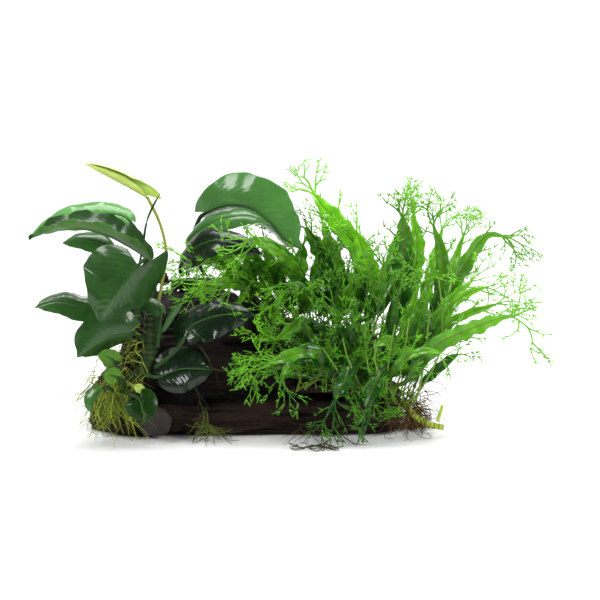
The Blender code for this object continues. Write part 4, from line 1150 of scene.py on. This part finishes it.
def root_tuft():
    """Olive roots that hang from the left stem to the ground, loose and spiky at their outside."""
    rng = random.Random(21)
    shape = Shape()
    for k in range(150):
        across = rng.uniform(-122, -94)
        start = Vector(seen(across, rng.uniform(18, 40) + (rng.random() < 0.2) * 14, rng.uniform(-78, -60)))
        away = Vector((rng.gauss(0, 0.3) + (across + 105) * 0.025, rng.gauss(0, 0.35), -0.8))
        wander(shape, rng, start, away, rng.uniform(16, 44), rng.uniform(0.22, 0.48), 0.12, rng.uniform(0.0, 1.0),
               twigs=rng.choice((0, 0, 1)))
    shape.build("anubias_root_tuft_roots", [MATERIALS["olive_root"]], "olive_root", ["anubias_root_tuft"])
    # fine roots and dry threads round the stem above it
    shape = Shape()
    for k in range(110):
        across, up = rng.uniform(-108, -78), rng.uniform(34, 92)
        start = Vector(seen(min(across, -84 + (92 - up) * 0.05), up, rng.uniform(-76, -62)))
        away = Vector((rng.gauss(-0.35, 0.6), rng.gauss(-0.1, 0.3), rng.gauss(-0.3, 0.6)))
        wander(shape, rng, start, away, rng.uniform(8, 26), rng.uniform(0.18, 0.38), 0.08, rng.uniform(0, 1.0),
               twigs=rng.choice((0, 0, 1)))
    for k in range(26):
        start = Vector(seen(rng.uniform(-122, -104), rng.uniform(26, 62), rng.uniform(-80, -66)))
        away = Vector((rng.uniform(-1, -0.1), rng.gauss(0, 0.3), rng.uniform(-0.8, 0.3)))
        wander(shape, rng, start, away, rng.uniform(12, 28), rng.uniform(0.2, 0.35), 0.08, rng.uniform(0.3, 1.0))
    shape.build("anubias_fine_roots", [MATERIALS["olive_root"]], "olive_root")


def root_fan():
    """Aerial roots that reach the ground in front of the wood and spread there."""
    rng = random.Random(22)
    shape = Shape()
    for k in range(24):
        start = Vector(seen(-31 + rng.gauss(0, 5), rng.uniform(-3, 7), -64 + rng.uniform(-2, 1)))
        turn = rng.uniform(-1.5, 1.5)
        away = Vector((math.sin(turn) * 1.2, -0.3 - 0.5 * rng.random(), -0.3))
        wander(shape, rng, start, away, rng.uniform(10, 30), rng.uniform(0.3, 0.55), 0.05, rng.uniform(0, 1.0),
               twigs=rng.choice((0, 1, 1)))
    for k in range(14):
        start = Vector(seen(-33 + rng.gauss(0, 3), rng.uniform(4, 20), -63))
        wander(shape, rng, start, (rng.gauss(0, 0.3), -0.2, -1), rng.uniform(10, 24), 0.35, 0.05, rng.uniform(0, 0.6))
    shape.build("anubias_root_fan_roots", [MATERIALS["dark_olive_root"]], "olive_root", ["anubias_root_fan"])


def aerial_roots():
    for name, route, radii in (("long", LONG_ROOT, (0.9, 0.8, 0.7)), ("forked", FORKED_ROOT, (1.0, 0.9, 0.6))):
        rng = random.Random(31 + len(name))
        shape = Shape()
        line = tube(shape, line_of(route), tuple(r * 0.75 for r in radii), 0, 8, 0.5, 1.0)
        for _ in range(4 if name == "forked" else 3):
            spot = Vector(line.at(line.length * rng.uniform(0.2, 0.8)))
            wander(shape, rng, spot, (rng.uniform(-0.2, 1), -0.25, -0.7), rng.uniform(8, 20), 0.4, 0.05, 0.4)
        shape.build("anubias_root_" + name + "_line", [MATERIALS["dark_root"]], "olive_root", ["anubias_root_" + name])


def root_tangle():
    """Brown wiry roots at the right end of the wood."""
    rng = random.Random(23)
    shape = Shape()
    centre = Vector(seen(133, 12, -14))
    reach = (16, 20, 19)
    for k in range(150):
        out = Vector((rng.gauss(0, 1), rng.gauss(0, 1), rng.gauss(0, 1))).normalized() * rng.uniform(0.1, 0.9)
        start = centre + Vector((out.x * 12, out.y * 16, out.z * 14))
        way = Vector((rng.gauss(0.2, 0.8), rng.gauss(0, 0.8), rng.gauss(-0.3, 0.6)))
        wander(shape, rng, start, way, rng.uniform(12, 34), rng.uniform(0.22, 0.5), 0.06, rng.uniform(0, 1),
               keep=(centre, reach), twigs=rng.choice((0, 1)))
    for k in range(30):
        start = Vector(seen(rng.uniform(122, 146), rng.uniform(4, 16), -50 + rng.uniform(-4, 10)))
        wander(shape, rng, start, (rng.gauss(0.1, 0.3), -0.1, -1), rng.uniform(8, 20), 0.3, 0.08, rng.uniform(0.3, 1))
    shape.build("fern_root_tangle_roots", [MATERIALS["brown_root"]], "brown_root", ["fern_root_tangle"])
    # fine roots that run over the end of the wood and hang down to the ground
    shape = Shape()
    for k in range(90):
        start = Vector(seen(rng.uniform(112, 144), rng.uniform(8, 42), rng.uniform(-60, -38)))
        way = Vector((rng.gauss(0.35, 0.5), rng.gauss(-0.15, 0.3), rng.gauss(-0.5, 0.4)))
        wander(shape, rng, start, way, rng.uniform(14, 40), rng.uniform(0.2, 0.42), 0.10, rng.uniform(0, 1),
               twigs=rng.choice((0, 0, 1)))
    shape.build("fern_fine_roots", [MATERIALS["brown_root"]], "brown_root")


def roots_front():
    rng = random.Random(24)
    shape = Shape()
    centre = Vector(seen(56, -9, -95))
    centre.z = 3
    for k in range(22):
        start = centre + Vector((rng.uniform(-14, 14), rng.uniform(-2, 7), rng.uniform(-2, 1)))
        wander(shape, rng, start, (rng.gauss(0, 1), rng.gauss(-0.2, 0.4), -0.1), rng.uniform(10, 24),
               rng.uniform(0.25, 0.5), 0.05, rng.uniform(0, 1), keep=(centre, (21, 11, 5)), twigs=1)
    for k in range(16):
        start = Vector(seen(rng.uniform(42, 72), rng.uniform(-2, 5), -72))
        wander(shape, rng, start, (rng.gauss(0.4, 0.5), -1, -0.3), rng.uniform(16, 34), rng.uniform(0.25, 0.45),
               0.08, rng.uniform(0, 1), twigs=1)
    shape.build("fern_roots_front_roots", [MATERIALS["ground_root"]], "brown_root", ["fern_roots_front"])


# --- assembly

def make_materials():
    made = {
        "leaf_top": blade_material("anubias_top", (0.0012, 0.0085, 0.0016), (0.085, 0.275, 0.052),
                                   (0.075, 0.210, 0.055), 12, 0.42, 1.0, 0.05, 0.30, patches=0.25, vein_share=0.16),
        "leaf_under": blade_material("anubias_under", (0.040, 0.130, 0.016), (0.13, 0.32, 0.055),
                                     (0.16, 0.36, 0.08), 12, 0.42, 0.15, 0.1, 0.35, vein_share=0.4),
        "young_top": blade_material("young_leaf_top", (0.0030, 0.022, 0.0008), (0.040, 0.165, 0.008),
                                    (0.030, 0.120, 0.008), 7, 0.38, 0.45, 0.05, 0.3, (0.05, 0.12, 0.02)),
        "young_under": blade_material("young_leaf_under", (0.030, 0.100, 0.008), (0.080, 0.200, 0.020),
                                      (0.10, 0.23, 0.035), 7, 0.4, 0.15, 0.1, 0.3, vein_share=0.35),
        "yellow_top": blade_material("yellow_leaf_top", (0.34, 0.50, 0.06), (0.56, 0.68, 0.20),
                                     (0.62, 0.72, 0.30), 9, 0.35, 0.3, 0.25, 0.25, (0.50, 0.42, 0.10)),
        "yellow_under": blade_material("yellow_leaf_under", (0.38, 0.52, 0.07), (0.58, 0.69, 0.22),
                                       (0.64, 0.73, 0.32), 9, 0.4, 0.2, 0.25, 0.25, (0.50, 0.42, 0.10)),
        "leaf_stalk": stalk_material("anubias_stalk", (0.014, 0.050, 0.007), (0.050, 0.15, 0.022)),
        "yellow_stalk": stalk_material("yellow_stalk", (0.30, 0.33, 0.05), (0.50, 0.62, 0.10)),
        "cut_stalk": stalk_material("cut_stalk", (0.30, 0.50, 0.05), (0.45, 0.60, 0.08)),
        "frond": frond_material("frond_top", (0.007, 0.068, 0.003), (0.27, 0.80, 0.022), (0.10, 0.030, 0.004)),
        "frond_under": frond_material("frond_under", (0.018, 0.125, 0.010), (0.29, 0.78, 0.045), (0.10, 0.05, 0.008)),
        "frond_stalk": stalk_material("frond_stalk", (0.17, 0.34, 0.045), (0.13, 0.07, 0.010), rough=0.45),
        "rhizome": stalk_material("anubias_rhizome", (0.010, 0.026, 0.004), (0.030, 0.070, 0.012), 4.5,
                                  (0.012, 0.012, 0.004), 0.5, 190),
        "brown_rhizome": stalk_material("fern_rhizome_old", (0.020, 0.011, 0.006), (0.06, 0.035, 0.015), 5.0,
                                        (0.10, 0.05, 0.02), 0.6, 190),
        "yellow_rhizome": stalk_material("fern_rhizome_young", (0.014, 0.007, 0.004), (0.42, 0.55, 0.05), 3.5,
                                         (0.05, 0.04, 0.010), 0.45, 190),
        "olive_root": stalk_material("olive_root", (0.075, 0.095, 0.012), (0.42, 0.54, 0.06), rough=0.6),
        "dark_olive_root": stalk_material("dark_olive_root", (0.024, 0.030, 0.006), (0.17, 0.21, 0.035), rough=0.6),
        "dark_root": stalk_material("dark_root", (0.010, 0.010, 0.004), (0.040, 0.042, 0.013), rough=0.5),
        "brown_root": stalk_material("brown_root", (0.022, 0.010, 0.005), (0.20, 0.115, 0.040), rough=0.65),
        "ground_root": stalk_material("ground_root", (0.010, 0.010, 0.004), (0.060, 0.060, 0.018), rough=0.6),
        "wood": wood_material("wet_driftwood"),
        "sawn": sawn_material("sawn_face"),
    }
    return made


LEAF_TONES = {
    "front": 0.20, "arched": 0.16, "rear": 1.0, "curled": 0.5, "low_left": 0.34, "mid_left": 0.20, "inner": 0.2,
    "big_arch": 0.66, "ribbed": 0.45, "dark": 0.0, "over_wood": 0.0, "low_wood": 0.0,
    "round": 0.06, "bright_small": 0.85, "light_underside": 0.9,
}
LEAF_LOOKS = {
    "light_underside": "young", "bright_small": "young", "round": "young", "new_roll": "yellow", "torn": "yellow",
}


def anubias():
    for label, route, blade_from, width, shape in ANUBIAS_LEAVES:
        look = LEAF_LOOKS.get(label, "leaf")
        stalk = "yellow_stalk" if look == "yellow" else "leaf_stalk"
        looks = {"materials": [MATERIALS[look + "_top"], MATERIALS[look + "_under"], MATERIALS[stalk]],
                 "slot": {"leaf": "anubias_leaf", "young": "young_leaf", "yellow": "yellow_leaf"}[look]}
        anubias_leaf(label, route, blade_from, width, looks, **shape)


FROND_TONES = {
    "tall_left": 0.42, "tall_middle": 0.42, "tall_inner": -0.15, "upright": -0.22, "crown": 0.1,
    "right_upright": -0.25, "right_curled": -0.22, "right_wavy": 0.0, "right_wide": -0.05, "front_pale": 0.2,
    "front_hanging_left": -0.1, "front_hanging_right": -0.1, "left_low": -0.25, "left_bright": -0.18,
}


def fern():
    materials = [MATERIALS["frond"], MATERIALS["frond_under"], MATERIALS["frond_stalk"]]
    for order, (label, stem, place, turn, route, width, crest) in enumerate(FERN_FRONDS):
        rng = random.Random(100 + order)
        shape = Shape()
        roll = FROND_TWIST * math.sin(FROND_TWIST_STEP * order)
        width = width * 0.82 if label.startswith("right") else width
        frond_into(shape, rng, frond_route(stem, place, turn, line_of(route)), width, crest, roll,
                   FROND_TONES.get(label, rng.uniform(-0.15, 0.08)), low=0.9 if label.startswith("front") else 0.5)
        shape.build("frond_" + label, materials, "fern_frond", ["fern_frond_" + label])
    companions(materials)
    shape = None
    for order, (stem, place, turn, tip, bow, width, crest, reach) in enumerate(SMALL_FRONDS):
        rng = random.Random(300 + order)
        if order % 8 == 0:
            shape = Shape()
        spine, radius = STEMS[stem]
        line = Line(line_of(spine))
        foot_at = line.at(line.length * place)
        tip_at = seen(*tip)
        middle = foot_at + (tip_at - foot_at) * 0.5 + np.array([0, 0, bow])
        neck_at = foot_at + (tip_at - foot_at) * (1 - reach) + np.array([0, 0, bow * 0.6])
        low = foot_at + (tip_at - foot_at) * 0.22 + np.array([0, 0, bow * 0.8 + 4])
        frond_into(shape, rng, frond_route(stem, place, turn, [low, middle, neck_at, tip_at]), width, crest,
                   rng.uniform(-50, 50), stalk=0.75)
        if order % 8 == 7 or order == len(SMALL_FRONDS) - 1:
            shape.build(f"fern_small_fronds_{order // 8 + 1}", materials, "fern_frond")


def companions(materials):
    """Thinner fronds beside the large ones, and narrow young ones that fill the middle of the clump."""
    for group in range(3):
        shape = Shape()
        for order in range(group, len(FERN_FRONDS), 3):
            label, stem, place, turn, route, width, crest = FERN_FRONDS[order]
            if label.startswith(("tall", "front_hanging", "right", "upright", "crown")):
                continue
            rng = random.Random(500 + 2 * order)
            scale = rng.uniform(0.6, 0.9)
            drift = (rng.gauss(0, 8), rng.gauss(0, 5), rng.gauss(0, 8))
            first = route[0]
            moved = [(first[0] + (a - first[0]) * scale + drift[0] * k / len(route),
                      first[1] + (b - first[1]) * scale + drift[1] * k / len(route),
                      min(max(first[2] + (c - first[2]) * scale + drift[2] * k / len(route), -88), 45))
                     for k, (a, b, c) in enumerate(route, 1)]
            place_here = min(max(place + rng.gauss(0, 0.04), 0.01), 0.99)
            frond_into(shape, rng, frond_route(stem, place_here, turn + rng.gauss(0, 15), line_of(moved)),
                       width * rng.uniform(0.55, 0.8), crest * rng.uniform(0.7, 0.95),
                       rng.uniform(-60, 60), rng.uniform(-0.2, 0.05), stalk=0.8)
        shape.build(f"fern_side_fronds_{group + 1}", materials, "fern_frond")
    shape = Shape()
    for route in BARE_STALKS:
        tube(shape, line_of(route), (1.0, 0.85, 0.75, 0.55), 2, 6, 0.15, 1.5, 8)
    shape.build("fern_bare_stalks", materials, "fern_frond")
    for group, (stem, places, leans, lengths, turns, backs) in enumerate(INNER_FRONDS):
        rng = random.Random(700 + group)
        spine, radius = STEMS[stem]
        line = Line(line_of(spine))
        shape = Shape()
        for k in range(INNER_COUNT):
            share = (k + rng.random()) / INNER_COUNT
            place = places[0] + (places[1] - places[0]) * share
            lean = math.radians(leans[0] + (leans[1] - leans[0]) * share + rng.gauss(0, 9))
            reach = rng.uniform(*lengths)
            foot = line.at(line.length * place)
            back = rng.uniform(*backs)
            way = np.array([math.sin(lean), 0, math.cos(lean)])
            bow = np.array([0, 0, rng.uniform(2, 9)]) if abs(lean) > 0.5 else np.zeros(3)
            spots = [foot + way * reach * at + np.array([0, back * at**1.5, 0]) + bow * math.sin(3.14 * at)
                     for at in (0.30, 0.62, 0.82, 1.0)]
            frond_into(shape, rng, frond_route(stem, place, rng.uniform(*turns), spots), rng.uniform(3.5, 7.5),
                       rng.uniform(8, 19), rng.uniform(-60, 60), rng.uniform(-0.30, -0.05), forks=0.5, stalk=0.7)
        shape.build(f"fern_inner_fronds_{group + 1}", materials, "fern_frond")


def stage():
    """A white sweep, soft lights, and the camera at the viewer's place."""
    eye = (VIEW_MIDDLE + VIEW_DISTANCE * TOWARDS_VIEWER) * MM
    data = bpy.data.cameras.new("camera")
    data.lens, data.sensor_width = 180, 36
    data.clip_start, data.clip_end = 0.1, 30
    camera = bpy.data.objects.new("camera", data)
    camera.location = eye
    camera.rotation_mode = "QUATERNION"
    camera.rotation_quaternion = Vector(-TOWARDS_VIEWER).to_track_quat("-Z", "Y")
    bpy.context.scene.collection.objects.link(camera)
    bpy.context.scene.camera = camera

    turns = np.linspace(0, np.pi / 2, 24)
    profile = [(-8.0, 0.0), (1.4, 0.0)] + [(1.4 + 1.2 * math.sin(a), 1.2 - 1.2 * math.cos(a)) for a in turns[1:]]
    profile.append((2.6, 7.0))
    mesh = bpy.data.meshes.new("sweep")
    points = [(x, y, z - 0.0002) for y, z in profile for x in (-9.0, 9.0)]
    faces = [(2 * k, 2 * k + 1, 2 * k + 3, 2 * k + 2) for k in range(len(profile) - 1)]
    mesh.from_pydata(points, [], faces)
    mesh.polygons.foreach_set("use_smooth", [True] * len(faces))
    made, nodes, links, shader = graph("pale_paper")
    grain = noise_of(nodes, links, 3, 4)
    links.new(mix(nodes, links, grain, (0.90, 0.90, 0.90), (0.94, 0.94, 0.94)), shader.inputs["Base Color"])
    shader.inputs["Roughness"].default_value = 0.9
    shader.inputs["Specular IOR Level"].default_value = 0.1
    mesh.materials.append(made)
    sweep = bpy.data.objects.new("sweep", mesh)
    bpy.context.scene.collection.objects.link(sweep)

    world = bpy.data.worlds.new("studio")
    world.use_nodes = True
    world.node_tree.nodes["Background"].inputs[0].default_value = (1, 1, 1, 1)
    world.node_tree.nodes["Background"].inputs[1].default_value = 0.08
    bpy.context.scene.world = world
    for name, spot, aim, size, power in (
            ("overhead", (0.05, 0.10, 1.2), (0.04, 0, 0.1), (0.9, 0.6), 15),
            ("left", (-0.9, -0.9, 0.9), (0.04, 0, 0.1), (0.5, 0.5), 12),
            ("right", (1.0, -0.9, 0.6), (0.04, 0, 0.1), (0.4, 0.6), 10),
            ("behind", (0.3, 1.1, 0.9), (0.04, 0, 0.12), (0.9, 0.5), 4),
            ("paper", (0.0, 0.9, 2.2), (0.0, 2.6, 0.9), (2.4, 0.9), 46)):
        light = bpy.data.lights.new(name, "AREA")
        light.shape, light.size, light.size_y, light.energy = "RECTANGLE", size[0], size[1], power
        lamp = bpy.data.objects.new(name, light)
        lamp.location = spot
        lamp.rotation_mode = "QUATERNION"
        lamp.rotation_quaternion = (Vector(aim) - Vector(spot)).to_track_quat("-Z", "Y")
        bpy.context.scene.collection.objects.link(lamp)
    bpy.context.scene.view_settings.view_transform = "Standard"
    bpy.context.scene.view_settings.look = "None"


MATERIALS = make_materials()
driftwood()
rhizomes()
anubias()
fern()
aerial_roots()
root_tuft()
root_fan()
root_tangle()
roots_front()
stage()
